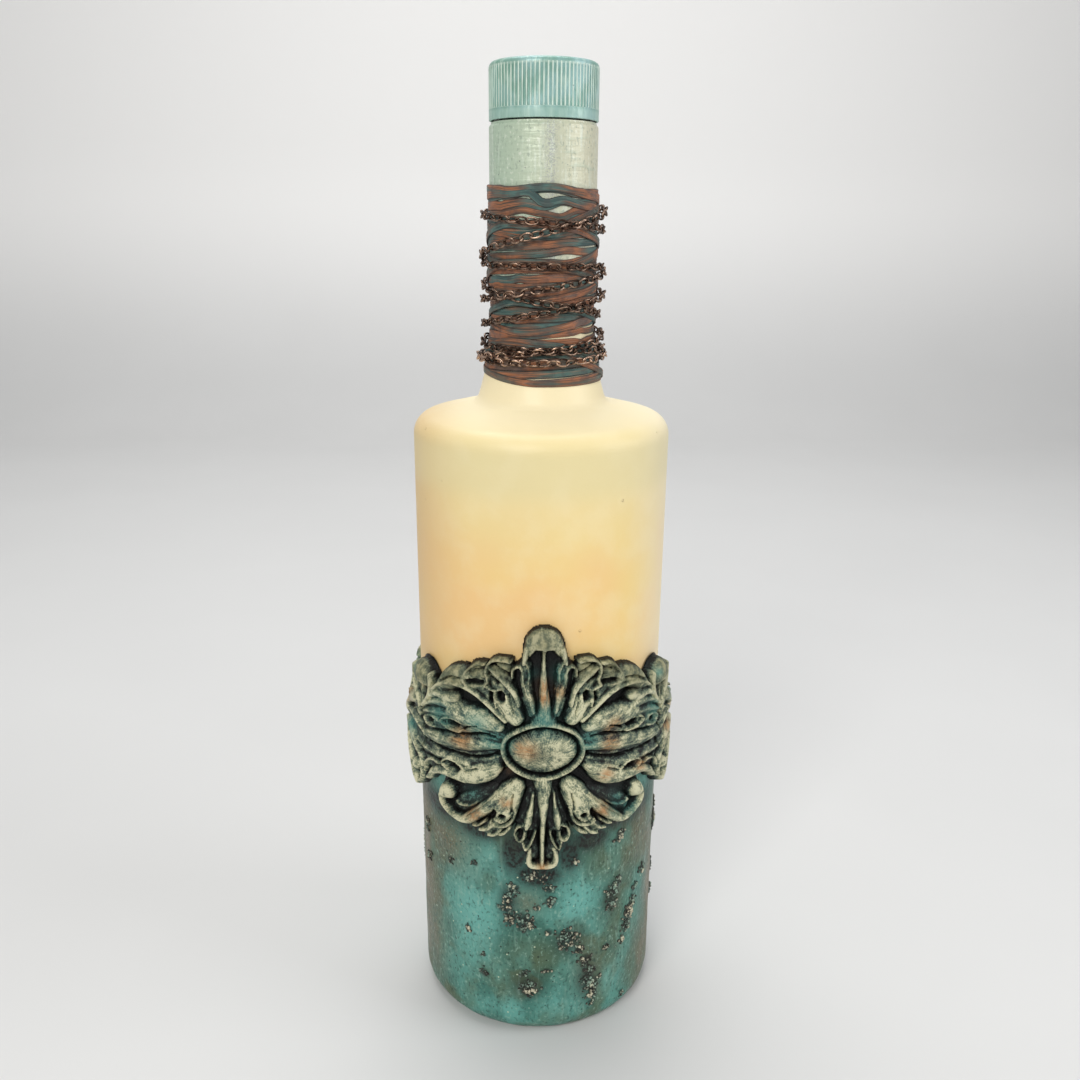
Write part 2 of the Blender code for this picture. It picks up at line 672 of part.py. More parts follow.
def boss_ovals():
    """Ovals of the boss and its rim: half width, half height and share of the relief's depth."""
    boss_inset = RIM_BREADTH + GROOVE_BREADTH
    rows = (
        (boss_inset, BOSS_SHARES[0], BOSS_SHARES[1]),
        (boss_inset, 1, BOSS_EDGE_SHARE),
        (boss_inset - GROOVE_BREADTH / 2, 1, GROOVE_SHARE),
        (RIM_BREADTH / 2, 1, RIM_SHARE),
        (0, 1, LEAF_FOOT_SHARE),
    )
    return [
        ((RIM_HALF_WIDTH - inset) * size, (RIM_HALF_HEIGHT - inset) * size, share)
        for inset, size, share in rows
    ]


def cast_mesh(name, half_width, outline_shares, relief_shares, ovals):
    """A cast plate with a relief of leaves and scrolls, and with ovals round its middle."""
    around = list(outline_shares)
    around += [(-across, up, share) for across, up, share in outline_shares[-2:0:-1]]
    outline = [(half_width * across, CARTOUCHE_HALF_HEIGHT * up) for across, up, _ in around]
    front = Sheet(outline, OVAL_SPACING)
    fixed = {k: share for k, (_, _, share) in enumerate(around)}
    if ovals:
        fixed[front.settle((0, 0))] = 1
    for wide, tall, share in ovals:
        ring = [front.settle(point) for point in ring_of((0, 0), wide, tall, OVAL_POINTS)]
        front.join(ring + ring[:1])
        fixed.update((index, share) for index in ring)
    lines = relief_lines(half_width, relief_shares)
    front.least = LINE_SPACING
    for line in lines:
        add_line(front, line, fixed)
    for line in lines:
        for foot in line_feet(line):
            if relief_share(foot, lines) < COVERED_SHARE:
                front.settle(foot)
    fixed.pop(None, None)

    def front_radius(point, index):
        return relief(fixed[index] if index in fixed else relief_share(point, lines))

    bm = bmesh.new()
    back = back_sheet(outline, half_width)
    rims = [front.fill(bm, front_radius), back.fill(bm, lambda point, index: BELT_BACK)]
    skin(bm, rims)
    material = finish("cast_relief", (0.30, 0.34, 0.28), 0.50, 0.2)
    return mesh_from(bm, name, material)


def palmette_mesh():
    """A short leaf that widens from its foot, under a hollow, to a domed knob."""
    bm = bmesh.new()
    flank, flank_relief = PALMETTE_FLANK_SHARES
    foot, top = [CARTOUCHE_HALF_HEIGHT * share for share in PALMETTE_END_SHARES]
    sections = []
    for up, wide, high in PALMETTE_SHARES:
        height = foot + (top - foot) * up
        half = PALMETTE_HALF_WIDTH * wide
        edge = relief(EDGE_SHARE)
        section = [
            (-half, edge),
            (-half * flank, relief(high * flank_relief)),
            (0, relief(high)),
            (half * flank, relief(high * flank_relief)),
            (half, edge),
            (half, BELT_BACK),
            (0, BELT_BACK),
            (-half, BELT_BACK),
        ]
        sections.append([bm.verts.new(on_belt(arc, height, radius)) for arc, radius in section])
    skin(bm, sections)
    bm.faces.new(sections[0])
    bm.faces.new(sections[-1])
    material = finish("cast_palmette", (0.34, 0.36, 0.28), 0.50, 0.2)
    return mesh_from(bm, "palmette", material)


def relief_belt():
    """Two cartouches alike, two side panels alike, and a palmette over each joint between them."""
    cartouche_forms = (CARTOUCHE_SHARES, RELIEF_SHARES, boss_ovals())
    cartouche = cast_mesh("cartouche", CARTOUCHE_HALF_WIDTH, *cartouche_forms)
    panel = cast_mesh("side_panel", PANEL_HALF_WIDTH, PANEL_OUTLINE_SHARES, PANEL_RELIEF_SHARES, ())
    palmette = palmette_mesh()
    for k in range(len(CARTOUCHE_NAMES)):
        start = math.pi * k
        end = start + math.pi
        first, second = PALMETTE_NAMES[k]
        place(CARTOUCHE_NAMES[k], cartouche, turn=start)
        place(first, palmette, turn=start + CARTOUCHE_ANGLE / 2)
        place(PANEL_NAMES[k], panel, turn=(start + end) / 2)
        place(second, palmette, turn=end - CARTOUCHE_ANGLE / 2)


def cap_shell():
    """The drawn shell: a plain band below, a ribbed grip above and a rounded top edge."""
    bm = bmesh.new()

    def ring(radius, height, count=RIB_COUNT, root=None):
        verts = []
        for k in range(count):
            angle = 2 * math.pi * k / count
            reach = root if root and k % 2 else radius
            point = (reach * math.sin(angle), -reach * math.cos(angle), height)
            verts.append(bm.verts.new(point))
        return verts

    def widen(few, many):
        for k in range(len(few)):
            here, after = few[k], few[(k + 1) % len(few)]
            middle, far = many[2 * k + 1], many[(2 * k + 2) % len(many)]
            bm.faces.new((many[2 * k], middle, here))
            bm.faces.new((middle, after, here))
            bm.faces.new((middle, far, after))

    rib_bottom = CAP_BOTTOM + RIB_START
    rib_top = CLOSURE_TOP - CAP_ROUND
    top_edge = CLOSURE_RADIUS - CAP_ROUND
    top_slope = CAP_ROUND * (1 - math.cos(math.pi / 4))
    under = [
        ring(SHELL_INNER, SHELL_CEILING),
        ring(SHELL_INNER, CAP_BOTTOM),
        ring(CLOSURE_RADIUS - EDGE_ROLL, CAP_BOTTOM),
        ring(CLOSURE_RADIUS, CAP_BOTTOM + EDGE_ROLL),
        ring(CLOSURE_RADIUS, rib_bottom - RIB_DEPTH),
    ]
    ribs = [
        ring(CLOSURE_RADIUS, rib_bottom, 2 * RIB_COUNT, RIB_ROOT),
        ring(CLOSURE_RADIUS, rib_top, 2 * RIB_COUNT, RIB_ROOT),
    ]
    over = [
        ring(CLOSURE_RADIUS - top_slope, CLOSURE_TOP - top_slope),
        ring(top_edge, CLOSURE_TOP),
    ]
    skin(bm, under)
    widen(under[-1], ribs[0])
    skin(bm, ribs)
    widen(over[0], ribs[1])
    skin(bm, over)
    cap_ring(bm, under[0], (0, 0, SHELL_CEILING))
    cap_ring(bm, over[-1], (0, 0, CLOSURE_TOP))
    material = finish("cap_paint", (0.30, 0.62, 0.58), 0.35, 0.2)
    place("cap_shell", mesh_from(bm, "cap_shell", material))


def cap_insert():
    """The threaded sleeve of the cap, a moulded cup that holds the liner against the lip."""
    bottom = CAP_BOTTOM + INSERT_RECESS
    ceiling = INSERT_CEILING + INSERT_TOP
    profile = rounded([
        (0, ceiling, 0),
        (INSERT_OUTER, ceiling, FIT_GAP),
        (INSERT_OUTER, bottom, 0),
        (INSERT_INNER, bottom, 0),
        (INSERT_INNER, INSERT_CEILING, 0),
        (0, INSERT_CEILING, 0),
    ])
    material = finish("insert_plastic", (0.80, 0.80, 0.76), 0.45, 0)
    place("cap_insert", mesh_from(turned(profile, closed=False), "cap_insert", material))


def cap_liner():
    """The soft disc that the cap presses on the lip."""
    radius = INSERT_INNER - FIT_GAP
    top = LINER_BOTTOM + LINER_THICKNESS
    profile = [(0, LINER_BOTTOM), (radius, LINER_BOTTOM), (radius, top), (0, top)]
    material = finish("liner_foam", (0.88, 0.87, 0.82), 0.80, 0)
    place("cap_liner", mesh_from(turned(profile, closed=False), "cap_liner", material))


def closure_skirt():
    """The long skirt that stays on the neck when the cap is unscrewed, its edges rolled in."""
    profile = [
        (CLOSURE_RADIUS - EDGE_ROLL, SKIRT_BOTTOM),
        (CLOSURE_RADIUS, SKIRT_BOTTOM + EDGE_ROLL),
        (CLOSURE_RADIUS, SKIRT_TOP - EDGE_ROLL),
        (CLOSURE_RADIUS - EDGE_ROLL, SKIRT_TOP),
        (SKIRT_INNER, SKIRT_TOP),
        (SKIRT_INNER, SKIRT_BOTTOM),
    ]
    material = finish("skirt_paint", (0.72, 0.74, 0.58), 0.45, 0.1)
    place("closure_skirt", mesh_from(turned(profile, closed=True), "closure_skirt", material))


def cord_centre(height):
    """Radius of the cord's middle where it lies on the glass or, higher up, on the skirt."""
    pitch = WRAP_LENGTH / CORD_TURNS
    on_skirt = (height - SKIRT_BOTTOM) / pitch + 2
    ramp = min(1, max(0, on_skirt))
    skirt = NECK_RADIUS + (CLOSURE_RADIUS - NECK_RADIUS) * ramp
    surface = max(skirt, neck_radius(height - CORD_HALF_WIDTH))
    along = min(1, max(0, (height - WRAP_BOTTOM) / WRAP_LENGTH))
    return surface + CORD_GAP + CORD_HALF_THICKNESS + CORD_BULGE * math.sin(math.pi * along)


def chain_centre(height, layer):
    """Radius of the chain's middle over the cord; layer 0 goes down and layer 1 lies on it."""
    reach = CHAIN_HALF_WIDTH * (1 + 2 * layer) + CORD_HALF_WIDTH
    centre = max(cord_centre(height + reach * side) for side in (-1, 0, 1))
    surface = centre + CORD_HALF_THICKNESS
    step = 2 * CHAIN_HALF_THICKNESS + CHAIN_LAYER_GAP
    return surface + CHAIN_GAP + CHAIN_HALF_THICKNESS + step * layer


def eased(values, place_along):
    """A smooth curve through evenly spaced values, held level past both ends."""
    last = len(values) - 1
    index = min(last - 1, max(0, math.floor(place_along)))
    t = place_along - index
    near, far = values[index], values[index + 1]
    before = values[max(0, index - 1)]
    after = values[min(last, index + 2)]
    start = (far - before) / 2
    end = (after - near) / 2
    t = min(1, max(0, t))
    bend = 2 * t ** 3 - 3 * t ** 2
    return near * (1 + bend) - far * bend + start * (t ** 3 - 2 * t ** 2 + t) + end * (t ** 3 - t ** 2)


def wound_tube(name, route, half_thickness, half_width, material):
    """One unbroken flat tube of six sides along a route of (angle, height, radius) points.

    Each end is carried on straight for one width of the tube.
    """
    centres = []
    for angle, height, radius in route:
        centres.append(Vector((radius * math.sin(angle), -radius * math.cos(angle), height)))
    lead_in = (centres[0] - centres[1]).normalized() * 2 * half_width
    lead_out = (centres[-1] - centres[-2]).normalized() * 2 * half_width
    centres = [centres[0] + lead_in] + centres + [centres[-1] + lead_out]
    angles = [route[0][0]] + [row[0] for row in route] + [route[-1][0]]
    bm = bmesh.new()
    rings = []
    for centre, angle in zip(centres, angles):
        out = Vector((math.sin(angle), -math.cos(angle), 0)) * half_thickness
        up = Vector((0, 0, half_width))
        corners = (up, out + up / 2, out - up / 2, -up, -out - up / 2, up / 2 - out)
        rings.append([bm.verts.new(centre + corner) for corner in corners])
    skin(bm, rings)
    bm.faces.new(rings[0])
    bm.faces.new(rings[-1])
    place(name, mesh_from(bm, name, material))
    gap = least_gap(route, half_thickness, half_width)
    print(name, "least gap between its turns, mm:", round(gap * 1000, 3))


def least_gap(route, half_thickness, half_width):
    """Least distance between turns of a flat tube, measured between its sections."""
    quarter = POINTS_PER_LOOP // 4
    least = math.inf
    for i, (angle, height, radius) in enumerate(route):
        for other, other_height, other_radius in route[i + quarter:]:
            apart = abs(math.remainder(other - angle, 2 * math.pi))
            along = max(0, 2 * radius * math.sin(apart / 2) - half_width)
            across = max(0, abs(other_radius - radius) - 2 * half_thickness)
            up = max(0, abs(other_height - height) - 2 * half_width)
            least = min(least, math.sqrt(along ** 2 + across ** 2 + up ** 2))
    return least


def wrap_cord():
    """A flat cord wound close up the neck, each turn a little askew."""
    route = []
    count = CORD_TURNS * POINTS_PER_LOOP
    for k in range(count + 1):
        angle = math.pi + 2 * math.pi * k / POINTS_PER_LOOP
        height = WRAP_BOTTOM + WRAP_LENGTH * k / count - CORD_WAVER * math.sin(angle)
        route.append((angle, height, cord_centre(height)))
    material = finish("cord_fibre", (0.36, 0.20, 0.13), 0.60, 0)
    wound_tube("wrap_cord", route, CORD_HALF_THICKNESS, CORD_HALF_WIDTH, material)


def neck_chain():
    """The chain's two layers, down and up again, from the back of the neck to the back."""
    passes = [share for pair in CHAIN_PASS_SHARES for share in pair]
    half_turn = POINTS_PER_LOOP // 2
    turning = 2 * CHAIN_PASSES_DOWN
    route = []
    for k in range(len(passes) * half_turn + 1):
        place_along = k / half_turn - 1 / 2
        angle = math.pi * (place_along - 1 / 2)
        height = CHAIN_BOTTOM + CHAIN_RISE * eased(passes, place_along)
        layer = min(1, max(0, 2 * (place_along - turning) - 1))
        route.append((angle, height, chain_centre(height, layer)))
    material = finish("chain_copper", (0.20, 0.12, 0.09), 0.35, 0.9)
    wound_tube("neck_chain", route, CHAIN_HALF_THICKNESS, CHAIN_HALF_WIDTH, material)


clear_scene()
glass_bottle()
texture_coat()
relief_belt()
closure_skirt()
cap_shell()
cap_insert()
cap_liner()
wrap_cord()
neck_chain()
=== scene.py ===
import math

import bmesh
import bpy
import numpy as np
from mathutils import Euler, Matrix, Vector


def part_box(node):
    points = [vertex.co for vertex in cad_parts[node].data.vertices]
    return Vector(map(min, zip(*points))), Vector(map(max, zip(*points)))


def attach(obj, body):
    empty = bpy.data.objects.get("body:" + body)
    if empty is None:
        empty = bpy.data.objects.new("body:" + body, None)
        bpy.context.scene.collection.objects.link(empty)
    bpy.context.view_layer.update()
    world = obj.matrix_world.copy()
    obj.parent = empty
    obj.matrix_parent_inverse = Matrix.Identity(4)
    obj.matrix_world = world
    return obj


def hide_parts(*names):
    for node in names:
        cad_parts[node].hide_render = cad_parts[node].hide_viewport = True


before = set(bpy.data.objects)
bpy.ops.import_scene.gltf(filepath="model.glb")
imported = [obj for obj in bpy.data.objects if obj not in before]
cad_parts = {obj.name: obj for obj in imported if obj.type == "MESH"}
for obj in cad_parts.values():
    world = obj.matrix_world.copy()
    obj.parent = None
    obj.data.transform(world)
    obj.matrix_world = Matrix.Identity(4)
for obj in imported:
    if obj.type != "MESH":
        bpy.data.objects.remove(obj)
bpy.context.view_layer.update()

# Glass bottle. Clear blown glass with a punt, a long straight wall, a flared neck and a screw finish.
# It was painted cream and honey yellow by hand with the closure on, so under the closure it is bare.
BODY_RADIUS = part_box("glass_bottle")[1].x
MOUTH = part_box("glass_bottle")[1].z
CLOSURE_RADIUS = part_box("closure_skirt")[1].x
SKIRT_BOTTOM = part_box("closure_skirt")[0].z
SKIRT_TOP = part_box("closure_skirt")[1].z
PUNT_RADIUS = 0.0270
PUNT_DEPTH = 0.0090
HEEL_ROUND = 0.0065
STANDING_ROUND = 0.0012
BASE_THICKNESS = 0.0050
BODY_WALL = 0.0030
INNER_ROUND = 0.0045
SHOULDER_HEIGHT = 0.1944
SHOULDER_ROUND = 0.0060
SKIRT_OVER_NECK = 0.0008
SKIRT_STAND = 0.0003
NECK_RADIUS = CLOSURE_RADIUS - SKIRT_OVER_NECK
NECK_ROUND = 0.0035
NECK_WALL = 0.0032
FLARE_WIDTH = 0.0048
FLARE_LENGTH = 0.0299
NECK_BASE = SKIRT_BOTTOM - SKIRT_STAND - FLARE_LENGTH
FINISH_RADIUS = 0.0126
FINISH_LENGTH = 0.0154
BORE_RADIUS = 0.0093
STEP_ROUND = 0.0008
LIP_ROUND = 0.0008
PAINT_GAP = 0.0006
THREAD_TURNS = 2.4
THREAD_PITCH = 0.0035
THREAD_BEAD = 0.00038
THREAD_DROP = 0.0115


def shade(red, green, blue):
    """A colour given as it looks on a screen, in the linear form that shaders use."""
    scaled = [value / 255 for value in (red, green, blue)]
    return (*[v / 12.92 if v <= 0.04045 else ((v + 0.055) / 1.055) ** 2.4 for v in scaled], 1)


def feed(tree, socket, value):
    """Link a socket to another one, or set its value."""
    if isinstance(value, bpy.types.NodeSocket):
        tree.links.new(value, socket)
    else:
        socket.default_value = value


def add_node(tree, kind, inputs=None, **settings):
    """A new node with its settings and inputs."""
    node = tree.nodes.new(kind)
    for key, value in settings.items():
        setattr(node, key, value)
    for key, value in (inputs or {}).items():
        feed(tree, node.inputs[key], value)
    return node


def worked_out(tree, operation, *values):
    """What one Math node makes of its values."""
    return add_node(tree, "ShaderNodeMath", dict(enumerate(values)), operation=operation).outputs[0]


class Finish:
    """A procedural material: one Principled shader, and short calls for the nodes behind it."""

    def __init__(self, name, roughness, metallic=0):
        self.material = bpy.data.materials.new(name)
        self.material.use_nodes = True
        self.tree = self.material.node_tree
        self.shader = self.tree.nodes["Principled BSDF"]
        self.set("Roughness", roughness)
        self.set("Metallic", metallic)
        self.place = self.add("ShaderNodeTexCoord").outputs["Object"]

    def add(self, kind, inputs=None, **settings):
        return add_node(self.tree, kind, inputs, **settings)

    def set(self, socket, value):
        feed(self.tree, self.shader.inputs[socket], value)

    def noise(self, size, detail=3, stretch=(1, 1, 1), seed=0, place=None):
        """Cloudy values round one half, in patches of a size in metres, stretched along each axis."""
        moved = self.add("ShaderNodeMapping", {
            "Vector": place or self.place,
            "Location": (seed * 0.31, seed * 0.17, seed * 0.23),
            "Scale": [1 / (size * part) for part in stretch],
        })
        inputs = {"Vector": moved.outputs["Vector"], "Scale": 1, "Detail": detail}
        return self.add("ShaderNodeTexNoise", inputs).outputs["Fac"]

    def specks(self, size, reach, share, seed=0):
        """Ones in round specks, about one in each cell of a size, on a share of the cells."""
        moved = self.add("ShaderNodeMapping", {
            "Vector": self.place,
            "Location": (seed * 0.29, seed * 0.13, seed * 0.19),
            "Scale": (1 / size, 1 / size, 1 / size),
        })
        cells = self.add("ShaderNodeTexVoronoi", {"Vector": moved.outputs["Vector"], "Scale": 1})
        near = self.window(cells.outputs["Distance"], reach, reach / 2)
        chosen = self.window(self.channel(cells.outputs["Color"]), share, share - 0.02)
        return self.calc("MULTIPLY", near, chosen)

    def channel(self, colour, axis="X"):
        return self.add("ShaderNodeSeparateXYZ", {"Vector": colour}).outputs[axis]

    def window(self, value, low, high, start=0, end=1):
        """A smooth step from start to end as the value passes from low to high."""
        if low > high:
            low, high, start, end = high, low, end, start
        inputs = {0: value, 1: low, 2: high, 3: start, 4: end}
        kind = {"interpolation_type": "SMOOTHSTEP"}
        return self.add("ShaderNodeMapRange", inputs, **kind).outputs["Result"]

    def calc(self, operation, first, second=0, third=0):
        return worked_out(self.tree, operation, first, second, third)

    def mix(self, factor, first, second, mode="MIX"):
        inputs = {0: factor, 6: first, 7: second}
        return self.add("ShaderNodeMix", inputs, data_type="RGBA", blend_type=mode).outputs[2]

    def attribute(self, name, output="Fac"):
        return self.add("ShaderNodeAttribute", attribute_name=name).outputs[output]

    def radius(self):
        """Distance from the bottle's axis."""
        flat = self.add("ShaderNodeVectorMath", {0: self.place, 1: (1, 1, 0)}, operation="MULTIPLY")
        length = self.add("ShaderNodeVectorMath", {0: flat.outputs["Vector"]}, operation="LENGTH")
        return length.outputs["Value"]

    def bump(self, height, distance):
        node = self.add("ShaderNodeBump", {"Height": height, "Distance": distance})
        self.set("Normal", node.outputs["Normal"])


def rounded(corners, step=math.radians(11)):
    """Points of a profile given as (radius, height, round) corners."""
    points = []
    for i, (radius, height, fillet) in enumerate(corners):
        corner = np.array((radius, height))
        if fillet == 0:
            points.append(corner)
            continue
        to_last = np.array(corners[i - 1][:2]) - corner
        to_next = np.array(corners[(i + 1) % len(corners)][:2]) - corner
        to_last = to_last / np.hypot(*to_last)
        to_next = to_next / np.hypot(*to_next)
        half = math.acos(float(to_last @ to_next)) / 2
        middle = (to_last + to_next) / np.hypot(*(to_last + to_next))
        centre = corner + middle * fillet / math.sin(half)
        first = corner + to_last * fillet / math.tan(half) - centre
        last = corner + to_next * fillet / math.tan(half) - centre
        start = math.atan2(first[1], first[0])
        sweep = math.remainder(math.atan2(last[1], last[0]) - start, 2 * math.pi)
        count = max(1, round(abs(sweep) / step))
        for k in range(count + 1):
            angle = start + sweep * k / count
            points.append(centre + fillet * np.array((math.cos(angle), math.sin(angle))))
    return np.array(points)


def quads(rows, columns, around, closed):
    """Faces of a grid of rows by columns: around joins the columns, closed joins the rows."""
    row = np.arange(rows if closed else rows - 1)
    column = np.arange(columns if around else columns - 1)
    row, column = np.meshgrid(row, column, indexing="ij")
    after, beside = (row + 1) % rows, (column + 1) % columns
    corners = (row, column), (row, beside), (after, beside), (after, column)
    return np.stack([r * columns + c for r, c in corners], axis=-1).reshape(-1, 4)


def mesh_piece(name, points, faces, *finishes, merge=0.0000005):
    """An object of its own from points and faces, its doubles merged and its faces outward."""
    mesh = bpy.data.meshes.new(name)
    mesh.from_pydata(np.asarray(points).tolist(), [], [list(face) for face in faces])
    bm = bmesh.new()
    bm.from_mesh(mesh)
    bmesh.ops.remove_doubles(bm, verts=bm.verts, dist=merge)
    bmesh.ops.recalc_face_normals(bm, faces=bm.faces)
    bm.to_mesh(mesh)
    bm.free()
    for finish in finishes:
        mesh.materials.append(finish.material)
    mesh.shade_smooth()
    mesh.set_sharp_from_angle(angle=math.radians(40))
    item = bpy.data.objects.new(name, mesh)
    bpy.context.scene.collection.objects.link(item)
    return item


def turned(name, profile, sides, closed, *finishes):
    """A profile of (radius, height) points turned round the bottle's axis."""
    angles = 2 * math.pi * np.arange(sides) / sides
    radius, height = profile[:, 0:1], profile[:, 1:2]
    rings = (radius * np.sin(angles), -radius * np.cos(angles), height + 0 * angles)
    points = np.stack(rings, axis=-1).reshape(-1, 3)
    return mesh_piece(name, points, quads(len(profile), sides, True, closed), *finishes)


def neck_radius(height):
    """Outside of the glass neck, which flares towards the shoulder as a parabola."""
    below = np.clip((NECK_BASE + FLARE_LENGTH - height) / FLARE_LENGTH, 0, 1)
    return NECK_RADIUS + FLARE_WIDTH * below ** 2


def node_group(name, **inputs):
    """An empty geometry tree with named inputs: a number for a size, or a material."""
    tree = bpy.data.node_groups.new(name, "GeometryNodeTree")
    tree.interface.new_socket("Geometry", in_out="INPUT", socket_type="NodeSocketGeometry")
    for key, value in inputs.items():
        kind = "Material" if isinstance(value, bpy.types.Material) else type(value).__name__.title()
        tree.interface.new_socket(key, in_out="INPUT", socket_type="NodeSocket" + kind)
    tree.interface.new_socket("Geometry", in_out="OUTPUT", socket_type="NodeSocketGeometry")
    entry = tree.nodes.new("NodeGroupInput").outputs
    return tree, entry


def joined(tree, entry, shape, material):
    """The object's own mesh and a new shape in its material, together."""
    clad = add_node(tree, "GeometryNodeSetMaterial", {"Geometry": shape, "Material": material})
    both = add_node(tree, "GeometryNodeJoinGeometry")
    tree.links.new(clad.outputs["Geometry"], both.inputs["Geometry"])
    tree.links.new(entry["Geometry"], both.inputs["Geometry"])
    return both.outputs["Geometry"]


def thinned_ends(tree, line, full, least):
    """A curve whose radius shrinks to its least share past a place, counted from its middle."""
    share = add_node(tree, "GeometryNodeSplineParameter").outputs["Factor"]
    away = worked_out(tree, "ABSOLUTE", worked_out(tree, "SUBTRACT", share, 0.5))
    taper = add_node(tree, "ShaderNodeMapRange", {0: away, 1: full, 2: 0.5, 3: 1, 4: least})
    return add_node(tree, "GeometryNodeSetCurveRadius", {
        "Curve": line,
        "Radius": taper.outputs["Result"],
    }).outputs["Curve"]


def grown(item, tree, last, **inputs):
    """The object's mesh as a finished plain one, after the tree's last socket and these inputs."""
    exit_node = tree.nodes.new("NodeGroupOutput")
    whole = add_node(tree, "GeometryNodeRealizeInstances", {"Geometry": last})
    tree.links.new(whole.outputs["Geometry"], exit_node.inputs["Geometry"])
    modifier = item.modifiers.new(tree.name, "NODES")
    modifier.node_group = tree
    for entry in tree.interface.items_tree:
        if entry.in_out == "INPUT" and entry.name in inputs:
            modifier[entry.identifier] = inputs[entry.name]
    bpy.context.view_layer.update()
    seen = item.evaluated_get(bpy.context.evaluated_depsgraph_get())
    mesh = bpy.data.meshes.new_from_object(seen)
    item.modifiers.clear()
    item.data = mesh
    return item


paint = Finish("hand_painted_cream", 0.42)
warm = paint.noise(0.055, 2, (1, 1, 0.8), seed=1)
mottle = paint.noise(0.009, 4, seed=2)
height = paint.channel(paint.place, "Z")
side = paint.channel(paint.place, "X")
CREAM, HONEY = shade(240, 222, 168), shade(246, 216, 142)
PEACH, IVORY = shade(246, 205, 142), shade(250, 236, 196)
coat = paint.mix(paint.window(warm, 0.38, 0.62), HONEY, PEACH)
coat = paint.mix(paint.window(height, 0.150, 0.190), coat, CREAM)
# The shoulder's top and the neck are painted paler ivory: a painted highlight where the shoulder faces
# up
coat = paint.mix(paint.window(height, 0.1925, 0.1985), coat, IVORY)
coat = paint.mix(paint.window(mottle, 0.40, 0.70, 0, 0.22), coat, IVORY)
# The left edge is painted darker tan, a painted shade, and the right edge paler, a painted reflection
coat = paint.mix(paint.window(side, -0.018, -0.040, 0, 0.75), coat, shade(218, 184, 130))
coat = paint.mix(paint.window(side, 0.022, 0.038, 0, 0.50), coat, shade(250, 240, 214))
# A greyer band just under the shoulder's round: painted shade
shade_under_shoulder = paint.calc("MULTIPLY", paint.window(height, 0.174, 0.182), paint.window(height, 0.194, 0.188))
coat = paint.mix(paint.calc("MULTIPLY", shade_under_shoulder, 0.4), coat, shade(226, 216, 168))
dust = paint.specks(0.0075, 0.045, 0.10, seed=3)
coat = paint.mix(paint.calc("MULTIPLY", dust, 0.6), coat, shade(150, 128, 88))
paint.set("Base Color", coat)
paint.set("Roughness", paint.window(mottle, 0.3, 0.7, 0.36, 0.50))
paint.set("Specular IOR Level", 0.4)
pimples = paint.specks(0.0055, 0.09, 0.16, seed=4)
stipple = paint.noise(0.0011, 3, (1, 1, 0.7), seed=5)
sag = paint.noise(0.014, 2, (1, 1, 1.8), seed=6)
relief = paint.calc("ADD", paint.calc("MULTIPLY", stipple, 0.10), paint.calc("MULTIPLY", sag, 0.55))
paint.bump(paint.calc("ADD", relief, paint.calc("MULTIPLY", pimples, 0.5)), 0.0006)

bare = Finish("bare_glass", 0.06)
bare.set("Base Color", bare.mix(bare.noise(0.02, 2), shade(206, 222, 210), shade(190, 214, 204)))
bare.set("Transmission Weight", 0.75)
bare.set("IOR", 1.5)
bare.bump(bare.noise(0.006, 2, (1, 1, 2)), 0.0002)

punt = [(PUNT_RADIUS * s, PUNT_DEPTH * (1 - s ** 2), 0) for s in np.linspace(0, 0.93, 9)]
punt_inside = [(radius, height + BASE_THICKNESS, 0) for radius, height, _ in reversed(punt)]
flare = [NECK_BASE + FLARE_LENGTH * s for s in np.linspace(0.14, 1, 14)]
step = NECK_RADIUS - FINISH_RADIUS
outside = rounded([
    *punt,
    (PUNT_RADIUS, 0, STANDING_ROUND),
    (BODY_RADIUS, 0, HEEL_ROUND),
    (BODY_RADIUS, SHOULDER_HEIGHT, SHOULDER_ROUND),
    (neck_radius(NECK_BASE), NECK_BASE, NECK_ROUND),
    *[(neck_radius(z), z, 0) for z in flare],
    (NECK_RADIUS, MOUTH - FINISH_LENGTH, STEP_ROUND),
    (FINISH_RADIUS, MOUTH - FINISH_LENGTH + step, 0.0006),
    (FINISH_RADIUS, MOUTH, LIP_ROUND),
    (BORE_RADIUS, MOUTH, LIP_ROUND),
    (BORE_RADIUS, MOUTH - FINISH_LENGTH, STEP_ROUND),
    (NECK_RADIUS - NECK_WALL, MOUTH - FINISH_LENGTH - step, 0.0012),
    *[(neck_radius(z) - NECK_WALL, z, 0) for z in reversed(flare)],
    (neck_radius(NECK_BASE) - NECK_WALL, NECK_BASE - BODY_WALL, 0.0020),
    (BODY_RADIUS - BODY_WALL, SHOULDER_HEIGHT - BODY_WALL, INNER_ROUND),
    (BODY_RADIUS - BODY_WALL, BASE_THICKNESS, INNER_ROUND),
    *punt_inside,
])
bottle = turned("painted_bottle", outside, 192, False, paint, bare)
for face in bottle.data.polygons:
    level = face.center.z
    away = math.hypot(face.center.x, face.center.y)
    under_closure = level > SKIRT_BOTTOM - PAINT_GAP
    in_neck = level > NECK_BASE and away < neck_radius(level) - NECK_WALL / 2
    in_wall = away < BODY_RADIUS - BODY_WALL / 2
    in_body = in_wall and BASE_THICKNESS / 2 < level < SHOULDER_HEIGHT - BODY_WALL / 2
    face.material_index = 1 if under_closure or in_neck or in_body else 0

